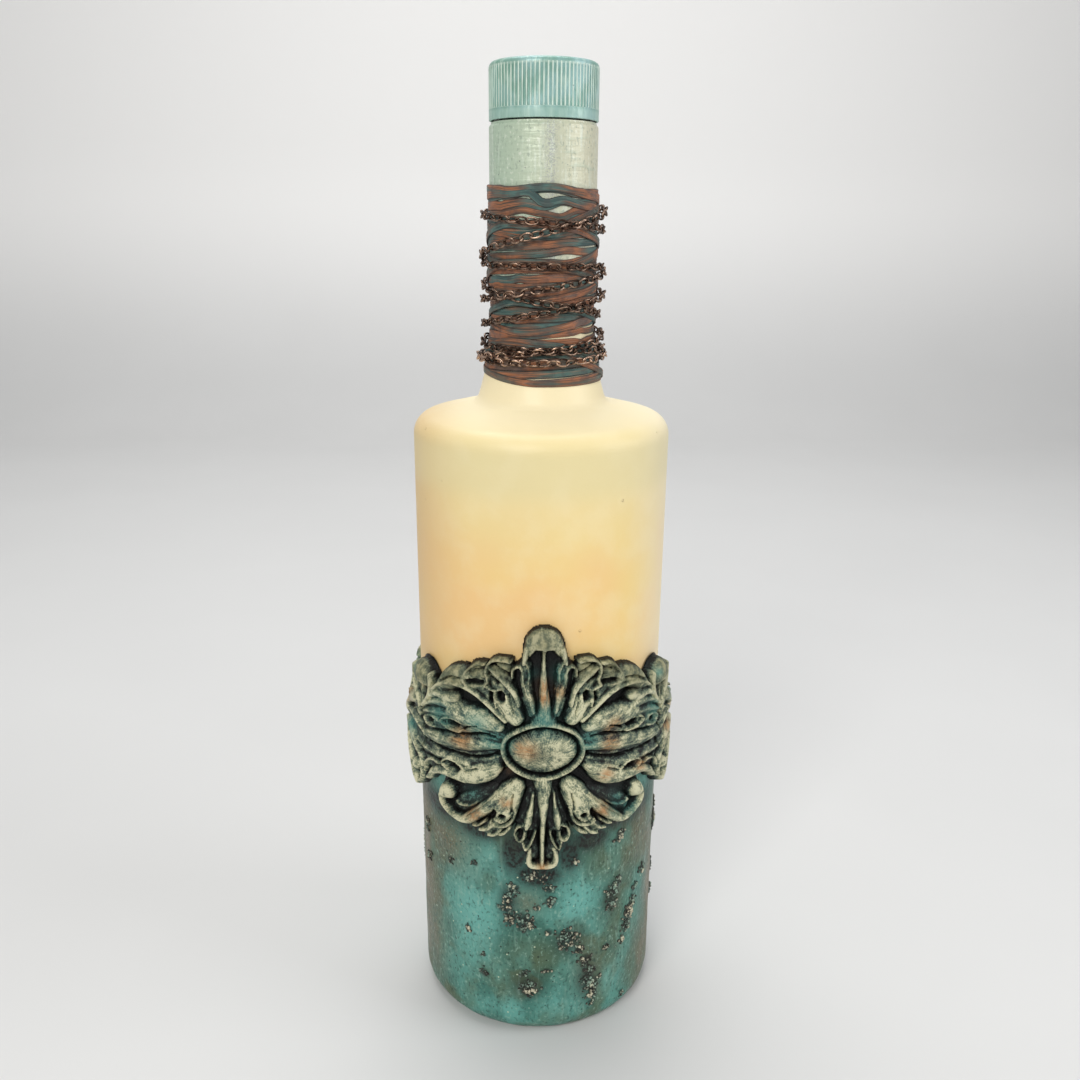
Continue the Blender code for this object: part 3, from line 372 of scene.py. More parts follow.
tree, entry = node_group("screw_thread", **{
    "Radius": 0.0, "Height": 0.0, "Turns": 0.0, "Bead": 0.0, "Foot": 0.0, "Glass": bare.material,
})
spiral = add_node(tree, "GeometryNodeCurveSpiral", {
    "Resolution": 96,
    "Rotations": entry["Turns"],
    "Start Radius": entry["Radius"],
    "End Radius": entry["Radius"],
    "Height": entry["Height"],
})
lift = add_node(tree, "ShaderNodeCombineXYZ", {"Z": entry["Foot"]})
placed = add_node(tree, "GeometryNodeSetPosition", {
    "Geometry": spiral.outputs["Curve"],
    "Offset": lift.outputs["Vector"],
})
round_bead = add_node(tree, "GeometryNodeCurvePrimitiveCircle", {
    "Resolution": 8,
    "Radius": entry["Bead"],
})
swept = add_node(tree, "GeometryNodeCurveToMesh", {
    "Curve": thinned_ends(tree, placed.outputs["Geometry"], 0.42, 0.3),
    "Profile Curve": round_bead.outputs["Curve"],
    "Fill Caps": True,
})
grown(bottle, tree, joined(tree, entry, swept.outputs["Mesh"], entry["Glass"]), **{
    "Radius": FINISH_RADIUS - THREAD_BEAD / 2,
    "Height": THREAD_TURNS * THREAD_PITCH,
    "Turns": THREAD_TURNS,
    "Bead": THREAD_BEAD,
    "Foot": MOUTH - THREAD_DROP,
    "Glass": bare.material,
})
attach(bottle, "bottle")
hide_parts("glass_bottle")

# Textured coat. Paste dabbed on the lower wall, with grit sprinkled into it in drifts while it was
# wet, then painted turquoise, dabbed here and there with a paler and a mossy green, and washed with
# brown. It is darkened round the grit and in patches along the belt's lower edge.
COAT_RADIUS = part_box("texture_coat")[1].x
COAT_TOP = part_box("texture_coat")[1].z
COAT_BACK = BODY_RADIUS + 0.0001
COAT_CELL = 0.0006
COAT_HEEL = math.radians(60)
COAT_EDGE = 0.0020
COAT_SWELL = 0.00010
COAT_RIPPLE = 0.00005
LUMP_RISE = 0.00030
LUMP_SPREAD = 0.00040
GRIT_DENSITY = 1500000
GRAIN_LEAST = 0.00018
GRAIN_MOST = 0.00080

# Each drift of grit has its arc along the coat from the front, its height and its radius
GRIT_DRIFTS = (
    (-0.0105, 0.0516, 0.0022), (-0.0115, 0.0480, 0.0022), (-0.0100, 0.0438, 0.0024),
    (-0.0050, 0.0432, 0.0032), (-0.0090, 0.0550, 0.0020), (0.0022, 0.0560, 0.0016),
    (0.0029, 0.0510, 0.0018), (-0.0013, 0.0487, 0.0013), (-0.0040, 0.0600, 0.0020),
    (0.0010, 0.0598, 0.0016), (0.0080, 0.0365, 0.0036), (0.0022, 0.0396, 0.0014),
    (0.0126, 0.0316, 0.0020), (0.0145, 0.0270, 0.0024), (0.0158, 0.0223, 0.0022),
    (0.0158, 0.0170, 0.0032), (0.0170, 0.0130, 0.0018), (0.0172, 0.0100, 0.0012),
    (0.0237, 0.0498, 0.0024), (0.0237, 0.0450, 0.0024), (0.0265, 0.0530, 0.0016),
    (0.0348, 0.0455, 0.0016), (0.0342, 0.0410, 0.0020), (0.0319, 0.0368, 0.0024),
    (0.0310, 0.0335, 0.0020), (0.0293, 0.0288, 0.0016), (0.0222, 0.0290, 0.0014),
    (-0.0050, 0.0240, 0.0015), (-0.0040, 0.0180, 0.0030), (-0.0188, 0.0210, 0.0016),
    (-0.0186, 0.0285, 0.0009), (-0.0244, 0.0358, 0.0013), (0.0019, 0.0250, 0.0012),
    (-0.0319, 0.0578, 0.0012), (-0.0218, 0.0610, 0.0011), (-0.0455, 0.0520, 0.0020),
    (-0.0462, 0.0640, 0.0022), (0.0400, 0.0500, 0.0018), (0.0300, 0.0072, 0.0014),
    (0.0106, 0.0640, 0.0012), (0.0262, 0.0690, 0.0020),
)
BACK_DRIFTS = 34
BACK_DRIFT_RANGES = ((0.054, 0.188), (0.006, 0.072), (0.0016, 0.0042))

# Each patch of paint, wash or darkening has its arc from the front, its height, its half width, its
# half height and its strength
BROWN_PATCHES = (
    (-0.0500, 0.0500, 0.0080, 0.0600, 1.0), (-0.0330, 0.0660, 0.0110, 0.0110, 0.8),
    (0.0500, 0.0300, 0.0070, 0.0450, 1.0), (0.0440, 0.0150, 0.0070, 0.0180, 0.8),
    (-0.0420, 0.0250, 0.0070, 0.0200, 0.7), (0.0400, 0.0640, 0.0090, 0.0100, 0.7),
    (-0.0045, 0.0505, 0.0050, 0.0045, 0.6), (0.0150, 0.0230, 0.0050, 0.0100, 0.5),
    (0.0850, 0.0400, 0.0140, 0.0500, 0.8), (-0.0900, 0.0300, 0.0160, 0.0300, 0.7),
    (0.1180, 0.0550, 0.0140, 0.0260, 0.6),
)
OLIVE_PATCHES = (
    (-0.0020, 0.0300, 0.0100, 0.0080, 0.9), (-0.0215, 0.0340, 0.0060, 0.0050, 0.7),
    (0.0280, 0.0380, 0.0080, 0.0200, 0.9), (0.0260, 0.0620, 0.0140, 0.0110, 1.0),
    (-0.0190, 0.0570, 0.0080, 0.0030, 0.5), (0.0380, 0.0150, 0.0090, 0.0120, 0.8),
    (-0.0110, 0.0220, 0.0060, 0.0060, 0.5), (0.0620, 0.0500, 0.0120, 0.0160, 0.8),
    (-0.0600, 0.0300, 0.0120, 0.0180, 0.8), (0.1000, 0.0200, 0.0180, 0.0120, 0.7),
    (-0.1050, 0.0200, 0.0140, 0.0160, 0.8),
)
PALE_PATCHES = (
    (-0.0220, 0.0420, 0.0090, 0.0200, 0.9), (-0.0150, 0.0620, 0.0060, 0.0070, 0.9),
    (0.0110, 0.0500, 0.0070, 0.0110, 0.9), (0.0240, 0.0170, 0.0070, 0.0080, 0.6),
    (-0.0120, 0.0090, 0.0100, 0.0060, 0.7), (0.0060, 0.0110, 0.0070, 0.0060, 0.6),
    (0.0750, 0.0500, 0.0160, 0.0200, 0.9), (-0.0700, 0.0400, 0.0180, 0.0240, 0.8),
    (0.1120, 0.0260, 0.0160, 0.0220, 0.9), (-0.1120, 0.0560, 0.0140, 0.0160, 0.8),
)
# The dark patches darken the coat along the belt's lower edge and near the grit
DARK_PATCHES = (
    (-0.0010, 0.0605, 0.0070, 0.0042, 1.0), (-0.0085, 0.0680, 0.0040, 0.0070, 1.0),
    (0.0085, 0.0670, 0.0034, 0.0060, 0.9), (0.0150, 0.0712, 0.0070, 0.0040, 0.9),
    (-0.0200, 0.0740, 0.0090, 0.0040, 0.8), (-0.0105, 0.0500, 0.0030, 0.0070, 0.6),
    (0.0280, 0.0760, 0.0200, 0.0050, 0.7), (-0.0360, 0.0760, 0.0160, 0.0050, 0.7),
    (0.0150, 0.0190, 0.0036, 0.0070, 0.5), (-0.0040, 0.0190, 0.0048, 0.0048, 0.5),
    (0.0090, 0.0355, 0.0048, 0.0048, 0.5), (0.0235, 0.0470, 0.0034, 0.0056, 0.5),
)


def cloud(points, cell, seed):
    """Smooth random values from -1 to 1 at points, which change over cells of that size."""
    count = 32
    lattice = np.random.default_rng(seed).uniform(-1, 1, (count, count, count))
    place = np.asarray(points) / cell
    base = np.floor(place).astype(int)
    along = place - base
    along = along ** 2 * (3 - 2 * along)
    total = 0
    for corner in np.ndindex(2, 2, 2):
        weight = np.prod(np.where(corner, along, 1 - along), axis=-1)
        index = (base + corner) % count
        total = total + weight * lattice[index[..., 0], index[..., 1], index[..., 2]]
    return total


def smooth_step(value, low, high):
    share = np.clip((value - low) / (high - low), 0, 1)
    return share ** 2 * (3 - 2 * share)


def round_the_coat(arc, other):
    """Distance along the coat from one arc to another, the short way round."""
    girth = 2 * math.pi * COAT_RADIUS
    return (arc - other + girth / 2) % girth - girth / 2


def patches(arc, height, rows):
    """Soft patches at their places, the strongest one at each point."""
    most = np.zeros_like(arc)
    for middle, level, wide, tall, strength in rows:
        reach = (round_the_coat(arc, middle) / wide) ** 2 + ((height - level) / tall) ** 2
        most = np.maximum(most, strength * np.exp(-reach))
    return most


def set_attribute(mesh, name, values, kind="FLOAT"):
    """Store values, one for each point, under a name that a material can read."""
    layer = mesh.attributes.new(name, kind, "POINT")
    field = "value" if kind == "FLOAT" else "vector"
    layer.data.foreach_set(field, np.asarray(values, np.float32).ravel())


heel_reach = COAT_RADIUS - (BODY_RADIUS - HEEL_ROUND)
heel_rows = round(COAT_HEEL * heel_reach / COAT_CELL)
wall_rows = round((COAT_TOP - HEEL_ROUND) / COAT_CELL)
columns = round(2 * math.pi * COAT_RADIUS / COAT_CELL)
heel = [-COAT_HEEL * (1 - k / heel_rows) for k in range(heel_rows)]
lean = np.array(heel + [0] * (wall_rows + 1))
rise = np.array([HEEL_ROUND] * heel_rows + list(np.linspace(HEEL_ROUND, COAT_TOP, wall_rows + 1)))
angles = np.linspace(-math.pi, math.pi, columns, endpoint=False)
lean, angle = np.meshgrid(lean, angles, indexing="ij")
rise = rise[:, None] + 0 * angle


def on_coat(reach):
    """Points of the coat's surface at a reach from the centre of the heel's round."""
    radius = BODY_RADIUS - HEEL_ROUND + reach * np.cos(lean)
    return np.stack((radius * np.sin(angle), -radius * np.cos(angle), rise + reach * np.sin(lean)), -1)


skin = on_coat(heel_reach)
arc = angle * COAT_RADIUS
level = skin[..., 2]
draw = np.random.default_rng(7)
drifts = list(GRIT_DRIFTS)
for _ in range(BACK_DRIFTS):
    drifts.append(tuple(draw.uniform(least, most) for least, most in BACK_DRIFT_RANGES))
grit = np.zeros_like(arc)
ragged = 1 + 0.45 * cloud(skin, 0.0021, 11) + 0.25 * cloud(skin, 0.0009, 12)
for middle, height, radius in drifts:
    away = np.hypot(round_the_coat(arc, middle), level - height) / (radius * ragged)
    grit = np.maximum(grit, smooth_step(away, 1.25, 0.55))
brown = patches(arc, level, BROWN_PATCHES)
dark = np.clip(np.maximum(1.7 * patches(arc, level, DARK_PATCHES), 0.95 * grit), 0, 1)
lit = patches(arc, level, PALE_PATCHES)
olive = patches(arc, level, OLIVE_PATCHES)
swell = COAT_SWELL * cloud(skin, 0.0060, 13) + COAT_RIPPLE * cloud(skin, 0.0016, 14)
lumps = grit * (LUMP_RISE + LUMP_SPREAD * cloud(skin, 0.0013, 15))
edge = smooth_step(level, COAT_TOP, COAT_TOP - COAT_EDGE)
outer = on_coat(heel_reach + (swell + lumps) * edge)
inner = on_coat(COAT_BACK - (BODY_RADIUS - HEEL_ROUND))[::-1]
shell = np.concatenate((outer, inner[:: len(inner) - 1]))
shell_faces = quads(len(shell), columns, True, True)

teal = Finish("weathered_turquoise", 0.40)
broad = teal.noise(0.0090, 4, (1, 1, 1.7), seed=1)
patch = teal.noise(0.0180, 3, seed=2)
streak = teal.noise(0.0013, 3, (1, 1, 6), seed=3)
fine = teal.noise(0.0010, 5, (1, 1, 1.3), seed=4)
colour = teal.mix(teal.window(broad, 0.38, 0.60), shade(56, 110, 98), shade(84, 142, 130))
mossy = teal.calc("MAXIMUM", teal.attribute("olive"), teal.window(patch, 0.48, 0.60, 0, 0.9))
mossy = teal.calc("MULTIPLY", mossy, teal.window(broad, 0.64, 0.44, 0.5, 1))
colour = teal.mix(mossy, colour, shade(82, 98, 72))
paled = teal.calc("MULTIPLY", teal.attribute("lit"), teal.window(broad, 0.34, 0.54, 0.40, 1))
colour = teal.mix(paled, colour, shade(108, 174, 164))
colour = teal.mix(teal.window(streak, 0.56, 0.74, 0, 0.30), colour, shade(150, 188, 172))
browned = teal.calc("MULTIPLY", teal.attribute("brown"), teal.window(fine, 0.30, 0.56, 0.6, 1))
colour = teal.mix(browned, colour, shade(108, 92, 64))
colour = teal.mix(teal.window(fine, 0.46, 0.30, 0, 0.62), colour, shade(36, 62, 54))
colour = teal.mix(teal.window(fine, 0.56, 0.72, 0, 0.50), colour, shade(150, 186, 170))
darkened = teal.calc("MULTIPLY", teal.attribute("dark"), teal.window(fine, 0.34, 0.60, 0.7, 1))
colour = teal.mix(darkened, colour, shade(24, 25, 22))
colour = teal.mix(teal.specks(0.0024, 0.16, 0.26, seed=5), colour, shade(24, 34, 30))
colour = teal.mix(teal.specks(0.0029, 0.12, 0.22, seed=6), colour, shade(196, 208, 180))
teal.set("Base Color", colour)
teal.set("Specular IOR Level", 0.3)
teal.set("Roughness", teal.window(broad, 0.3, 0.7, 0.30, 0.52))
rough = teal.calc("ADD", teal.calc("MULTIPLY", fine, 0.55), teal.calc("MULTIPLY", streak, 0.15))
teal.bump(teal.calc("ADD", rough, teal.calc("MULTIPLY", broad, 0.5)), 0.0006)

grains = Finish("dry_brushed_grit", 0.62)
proud = grains.window(grains.radius(), COAT_RADIUS + 0.0002, COAT_RADIUS + 0.0009)
brushed = grains.calc("MULTIPLY", proud, grains.window(grains.noise(0.0009, 3, seed=1), 0.38, 0.54))
tinge = grains.window(grains.noise(0.006, 2, seed=2), 0.42, 0.58)
tip = grains.mix(tinge, shade(214, 208, 180), shade(142, 170, 152))
grains.set("Base Color", grains.mix(brushed, shade(34, 33, 27), tip))
grains.bump(grains.noise(0.0004, 2, seed=3), 0.0002)

coat = mesh_piece("textured_coat", shell.reshape(-1, 3), shell_faces, teal, grains, merge=0)
filler = np.zeros((2, columns))
for name, values in (("grit", grit), ("brown", brown), ("dark", dark), ("lit", lit), ("olive", olive)):
    set_attribute(coat.data, name, np.concatenate((values, filler)))

tree, entry = node_group("sprinkled_grit", **{
    "Density": 0.0, "Least": 0.0, "Most": 0.0, "Grit": grains.material,
})
mask = add_node(tree, "GeometryNodeInputNamedAttribute", {"Name": "grit"}, data_type="FLOAT")
spread = add_node(tree, "GeometryNodeDistributePointsOnFaces", {
    "Mesh": entry["Geometry"],
    "Density": worked_out(tree, "MULTIPLY", mask.outputs[0], entry["Density"]),
    "Seed": 5,
})
least, most = [
    add_node(tree, "ShaderNodeCombineXYZ", dict.fromkeys("XYZ", entry[name])).outputs["Vector"]
    for name in ("Least", "Most")
]
size = add_node(tree, "FunctionNodeRandomValue", {
    0: least,
    1: most,
    "Seed": 6,
}, data_type="FLOAT_VECTOR")
tumble = add_node(tree, "FunctionNodeRandomValue", {
    0: (0, 0, 0),
    1: (2 * math.pi, 2 * math.pi, 2 * math.pi),
    "Seed": 7,
}, data_type="FLOAT_VECTOR")
grain = add_node(tree, "GeometryNodeMeshIcoSphere", {"Radius": 1, "Subdivisions": 1})
strewn = add_node(tree, "GeometryNodeInstanceOnPoints", {
    "Points": spread.outputs["Points"],
    "Instance": grain.outputs["Mesh"],
    "Rotation": tumble.outputs[0],
    "Scale": size.outputs[0],
})
grown(coat, tree, joined(tree, entry, strewn.outputs["Instances"], entry["Grit"]), **{
    "Density": GRIT_DENSITY,
    "Least": GRAIN_LEAST,
    "Most": GRAIN_MOST,
    "Grit": grains.material,
})
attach(coat, "bottle")
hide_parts("texture_coat")

# Cast cartouches. Two alike, pressed from one mould in the rococo manner, glued on in front and at the
# rear, painted black, then dry brushed with grey green and bone, with a little copper and teal.
BELT_HEIGHT = (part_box("cartouche_front")[0].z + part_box("cartouche_front")[1].z) / 2
CARTOUCHE_HALF_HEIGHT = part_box("cartouche_front")[1].z - BELT_HEIGHT
BELT_MOST = -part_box("cartouche_front")[0].y
BELT_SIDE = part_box("side_panel_right")[1].x
BELT_SCALE_RADIUS = 0.0410
BELT_FLOOR = 0.0393
BELT_FOOT = COAT_RADIUS - 0.0001
BELT_BACK = COAT_RADIUS - 0.0003
BELT_CELL = 0.00034
CARTOUCHE_HALF_ANGLE = 1.0408
SUNK = -0.0020
RIM_HALF_WIDTH = 0.0118
RIM_HALF_HEIGHT = 0.0086
RIM_BREADTH = 0.00085
RIM_RISE = 0.0031
BOSS_HALF_WIDTH = 0.0103
BOSS_HALF_HEIGHT = 0.0070
BOSS_FOOT = 0.0006
BOSS_RISE = 0.0034
BOSS_FULLNESS = 2.2
BOSS_ROUNDNESS = 0.48
GROOVE_HEIGHT = 0.0003
VEIN_SPACING = 0.00115
VEIN_DEPTH = 0.00016
BLEND = 0.0003
HAND_DRIFT = 0.00032
ROUNDNESS = {"bed": 0.55, "leaf": 0.45, "bulb": 0.42, "ball": 0.4, "rod": 0.6, "carve": 0.7}
PLATE_EDGE = 1.06
PLATE_SLOPE = 0.12
STROKE_REACH = 1.3
CAST_GRAIN = 0.00006
CREST_CELLS = 2
CREST_HEIGHT = 0.0006
BROAD_CELLS = 9
BROAD_HEIGHT = 0.0014
TALL_HEIGHT = 0.0032
BRUSH_REACH = 0.012

# Strokes of the relief's right half, which the left half mirrors. Each has its kind, its height and
# its points, given by their distance from the middle, their height over it and their half width.
CARTOUCHE_STROKES = (
    ("plate", 0, ((0, 0, 0.0134),)),
    ("plate", 0, ((0, 0.008, 0.008), (0, 0.02, 0.008), (0, 0.0296, 0.0062), (0, 0.0316, 0.006))),
    ("plate", 0, (
        (0.008, 0.012, 0.006), (0.0126, 0.0204, 0.0062), (0.0214, 0.018, 0.0058),
        (0.0296, 0.015, 0.005),
    )),
    ("plate", 0, (
        (0.014, 0.002, 0.008), (0.024, 0, 0.01), (0.034, -0.001, 0.0095), (0.041, -0.003, 0.009),
    )),
    ("plate", 0, ((0.009, -0.012, 0.006), (0.0124, -0.0206, 0.0058), (0.0154, -0.0254, 0.0034))),
    ("plate", 0, ((0.02, -0.013, 0.0065), (0.028, -0.018, 0.0066), (0.0306, -0.02, 0.0056))),
    ("plate", 0, ((0, -0.014, 0.007), (0, -0.025, 0.008), (0, -0.03, 0.006), (0, -0.0356, 0.0046))),
    ("bed", 0.0019, (
        (0.0036, 0.012, 0.0016), (0.005, 0.018, 0.0024), (0.0058, 0.023, 0.0029),
        (0.0056, 0.0262, 0.0023),
    )),
    ("bed", 0.0027, (
        (0.0082, 0.0106, 0.0026), (0.0102, 0.0144, 0.0038), (0.0122, 0.0192, 0.004),
        (0.0126, 0.0232, 0.0039), (0.012, 0.0252, 0.0032),
    )),
    ("bed", 0.0025, (
        (0.0145, 0.0155, 0.002), (0.0178, 0.0196, 0.0036), (0.0196, 0.0222, 0.0039),
        (0.0188, 0.0236, 0.0031),
    )),
    ("bed", 0.0032, (
        (0.0205, 0.0204, 0.0034), (0.0255, 0.0204, 0.0038), (0.03, 0.0184, 0.0034),
        (0.0334, 0.0158, 0.0024),
    )),
    ("bed", 0.0022, (
        (0.014, 0.0036, 0.004), (0.022, 0.0046, 0.006), (0.032, 0.0052, 0.0064),
        (0.041, 0.002, 0.0066),
    )),
    ("bed", 0.0022, (
        (0.015, -0.004, 0.0034), (0.024, -0.0066, 0.0044), (0.032, -0.008, 0.0056),
        (0.04, -0.0096, 0.006),
    )),
    ("bed", 0.0015, (
        (0.0024, -0.014, 0.0028), (0.004, -0.022, 0.0036), (0.0046, -0.029, 0.0034),
        (0.0028, -0.035, 0.0024),
    )),
    ("bed", 0.0024, (
        (0.012, -0.0224, 0.0046), (0.0148, -0.0256, 0.0036), (0.0166, -0.0272, 0.0026),
    )),
    ("bed", 0.0013, ((0.015, -0.015, 0.003), (0.021, -0.0196, 0.0038), (0.027, -0.0224, 0.0032))),
    ("ball", 0.0042, ((0, 0.0327, 0.0057),)),
    ("rod", 0.0036, ((0.0049, 0.032, 0.0011), (0.0055, 0.0296, 0.001), (0.0059, 0.0276, 0.0007))),
    ("carve", 0.0038, ((0.0015, 0.031, 0.0017), (0.002, 0.029, 0.0023))),
    ("rod", 0.0032, (
        (0, 0.008, 0.0046), (0, 0.0105, 0.0033), (0, 0.014, 0.0022), (0, 0.018, 0.0017),
        (0, 0.023, 0.0011), (0, 0.028, 0.0006), (0, 0.033, 0.0005),
    )),
    ("bulb", 0.0029, (
        (0.0031, 0.0128, 0.0007), (0.0039, 0.0162, 0.0011), (0.0046, 0.0194, 0.00125),
    )),
    ("rod", 0.0031, (
        (0.0048, 0.0198, 0.0005), (0.0057, 0.0222, 0.0005), (0.006, 0.0248, 0.0005),
        (0.0073, 0.0266, 0.00055), (0.0089, 0.0254, 0.0005), (0.0088, 0.0232, 0.00045),
    )),
    ("rod", 0.0027, (
        (0.0043, 0.0216, 0.0004), (0.0041, 0.0246, 0.00045), (0.0052, 0.0276, 0.0005),
    )),
    ("carve", 0.0023, (
        (0.0075, 0.0244, 0.00085), (0.0072, 0.0214, 0.00075), (0.0064, 0.0176, 0.00065),
    )),
    ("bulb", 0.0037, (
        (0.0084, 0.0104, 0.0024), (0.0098, 0.0128, 0.0034), (0.0108, 0.0152, 0.0034),
    )),
    ("rod", 0.0036, (
        (0.0074, 0.015, 0.0008), (0.0083, 0.0184, 0.001), (0.0104, 0.0212, 0.00105),
        (0.013, 0.0236, 0.0009), (0.0152, 0.0256, 0.0006),
    )),
    ("rod", 0.0036, ((0.0134, 0.014, 0.0006), (0.0139, 0.0168, 0.00045), (0.0137, 0.019, 0.0005))),
    ("rod", 0.0036, ((0.0116, 0.0198, 0.0005), (0.0139, 0.0189, 0.0005), (0.0165, 0.0198, 0.0005))),
    ("carve", 0.0031, ((0.012, 0.0166, 0.0013), (0.0121, 0.0178, 0.0012))),
    ("carve", 0.0027, ((0.0149, 0.0158, 0.00075), (0.015, 0.0176, 0.0007))),
    ("rod", 0.0036, (
        (0.0096, 0.028, 0.0005), (0.012, 0.0284, 0.0006), (0.0142, 0.0281, 0.00055),
        (0.0159, 0.0264, 0.00055), (0.0163, 0.024, 0.0005), (0.0158, 0.0216, 0.0005),
        (0.0167, 0.0198, 0.0005),
    )),
    ("carve", 0.0011, (
        (0.0094, 0.0238, 0.00035), (0.0116, 0.0254, 0.00045), (0.0146, 0.027, 0.00035),
    )),
    ("carve", 0.0016, ((0.0128, 0.0214, 0.0006), (0.0148, 0.0226, 0.0006))),
    ("carve", 0.0007, (
        (0.0086, 0.0126, 0.0003), (0.0094, 0.0156, 0.00035), (0.0098, 0.018, 0.0003),
    )),
    ("carve", 0.0006, ((0.011, 0.0118, 0.0003), (0.0124, 0.014, 0.0003))),
    ("rod", 0.0033, (
        (0.0168, 0.0264, 0.00045), (0.0194, 0.026, 0.0005), (0.0218, 0.0242, 0.0005),
        (0.0236, 0.0216, 0.0005), (0.0235, 0.0196, 0.0005), (0.022, 0.0184, 0.0005),
    )),
    ("rod", 0.003, ((0.0168, 0.0226, 0.0004), (0.0196, 0.0228, 0.00045), (0.0228, 0.022, 0.0004))),
    ("carve", 0.0025, ((0.0178, 0.0206, 0.0008), (0.02, 0.0206, 0.0011), (0.0222, 0.0202, 0.0008))),
    ("carve", 0.0009, ((0.0176, 0.0248, 0.0005), (0.0202, 0.0242, 0.0004))),
    ("rod", 0.003, ((0.0244, 0.0228, 0.0004), (0.0286, 0.0214, 0.00045), (0.0324, 0.0186, 0.0004))),
    ("rod", 0.0039, (
        (0.0108, 0.0096, 0.0008), (0.0142, 0.013, 0.00095), (0.018, 0.0162, 0.00095),
        (0.0222, 0.0181, 0.0009), (0.0264, 0.0184, 0.00085), (0.0306, 0.0176, 0.00085),
        (0.034, 0.0159, 0.0009), (0.0366, 0.0136, 0.0009),
    )),
    ("bulb", 0.0037, (
        (0.0276, 0.0138, 0.0019), (0.0306, 0.013, 0.0022), (0.034, 0.0132, 0.0017),
        (0.0374, 0.0116, 0.0013),
    )),
    ("carve", 0.001, ((0.0246, 0.0206, 0.00035), (0.0284, 0.02, 0.0004), (0.0324, 0.0176, 0.0004))),
    ("bulb", 0.0039, (
        (0.013, 0.007, 0.0019), (0.0164, 0.0082, 0.0034), (0.0204, 0.0087, 0.0041),
        (0.025, 0.0086, 0.0036), (0.029, 0.0088, 0.0022),
    )),
    ("leaf", 0.0032, (
        (0.021, 0.0098, 0.0026), (0.026, 0.0106, 0.0025), (0.032, 0.0106, 0.002),
        (0.037, 0.0094, 0.0014), (0.041, 0.0072, 0.001),
    )),
    ("leaf", 0.0031, (
        (0.022, 0.0066, 0.002), (0.0275, 0.0078, 0.0017), (0.033, 0.0072, 0.0017),
        (0.042, 0.0044, 0.0014),
    )),
    ("rod", 0.0035, (
        (0.0236, 0.0066, 0.0005), (0.027, 0.0072, 0.00055), (0.031, 0.0062, 0.00055),
        (0.0328, 0.0045, 0.0005), (0.0296, 0.003, 0.0005), (0.0254, 0.0032, 0.0005),
    )),
    ("carve", 0.003, ((0.0268, 0.0051, 0.0011), (0.0298, 0.0048, 0.001))),
    ("rod", 0.0033, (
        (0.0304, 0.0114, 0.0005), (0.0356, 0.0102, 0.0006), (0.04, 0.0076, 0.0006),
        (0.0424, 0.006, 0.0005),
    )),
    ("rod", 0.0032, (
        (0.0334, 0.0036, 0.00045), (0.0376, 0.0044, 0.0005), (0.0414, 0.0026, 0.0005),
        (0.0396, 0.0006, 0.0005), (0.036, 0.0012, 0.00045),
    )),
    ("carve", 0.0024, ((0.038, 0.0026, 0.0009), (0.039, 0.0023, 0.0008))),
    ("carve", 0.0013, (
        (0.0196, 0.0066, 0.0003), (0.0226, 0.0056, 0.00035), (0.0246, 0.0042, 0.00035),
    )),
    ("leaf", 0.0032, (
        (0.0128, 0.0009, 0.0015), (0.0185, 0.0006, 0.0025), (0.026, -0.0009, 0.0029),
        (0.034, -0.0023, 0.0026), (0.0425, -0.0032, 0.0022),
    )),
    ("rod", 0.0034, (
        (0.014, 0.0009, 0.0005), (0.024, -0.0004, 0.0007), (0.034, -0.002, 0.0007),
        (0.0425, -0.0029, 0.0006),
    )),
    ("carve", 0.0016, (
        (0.014, 0.0036, 0.0004), (0.019, 0.004, 0.00045), (0.024, 0.0026, 0.00045),
        (0.032, 0.0008, 0.0004), (0.038, -0.0006, 0.00035),
    )),
    ("carve", 0.0016, (
        (0.0136, -0.002, 0.0005), (0.018, -0.0034, 0.0005), (0.024, -0.0046, 0.0005),
        (0.032, -0.0052, 0.0004), (0.04, -0.0056, 0.00035),
    )),
    ("bulb", 0.0039, (
        (0.0138, -0.0058, 0.0018), (0.0168, -0.0078, 0.0033), (0.0206, -0.0099, 0.0037),
        (0.024, -0.0114, 0.0028),
    )),
    ("leaf", 0.0031, (
        (0.0226, -0.007, 0.0018), (0.028, -0.0068, 0.0016), (0.033, -0.0074, 0.0016),
        (0.038, -0.008, 0.0015), (0.0424, -0.0084, 0.0013),
    )),
    ("leaf", 0.0034, (
        (0.024, -0.0122, 0.002), (0.029, -0.0122, 0.0019), (0.034, -0.0126, 0.0018),
        (0.038, -0.0146, 0.0015), (0.0404, -0.0178, 0.0011),
    )),
    ("rod", 0.0035, (
        (0.0236, -0.0092, 0.0005), (0.0268, -0.0074, 0.00055), (0.031, -0.0078, 0.00055),
        (0.0326, -0.0096, 0.0005), (0.0298, -0.011, 0.0005),
    )),
    ("carve", 0.003, ((0.0264, -0.0093, 0.0011), (0.0298, -0.0094, 0.001))),
    ("rod", 0.0033, (
        (0.0338, -0.0104, 0.0005), (0.0376, -0.0104, 0.00055), (0.0412, -0.0126, 0.0007),
        (0.042, -0.0162, 0.0007),
    )),
    ("carve", 0.0014, (
        (0.034, -0.0094, 0.0004), (0.038, -0.0098, 0.0004), (0.042, -0.0106, 0.0004),
    )),
    ("carve", 0.0009, ((0.019, -0.0072, 0.0003), (0.023, -0.0092, 0.00035))),
    ("bulb", 0.0036, (
        (0.0339, -0.0206, 0.001), (0.0334, -0.023, 0.0008), (0.0312, -0.0248, 0.00075),
        (0.0284, -0.026, 0.00095), (0.0254, -0.0264, 0.0015), (0.0226, -0.0252, 0.0019),
        (0.0194, -0.0226, 0.002), (0.016, -0.0192, 0.0022), (0.0128, -0.015, 0.0019),
    )),
    ("rod", 0.0039, (
        (0.0246, -0.025, 0.00045), (0.0206, -0.0216, 0.00055), (0.0164, -0.0174, 0.00055),
        (0.0136, -0.014, 0.0005),
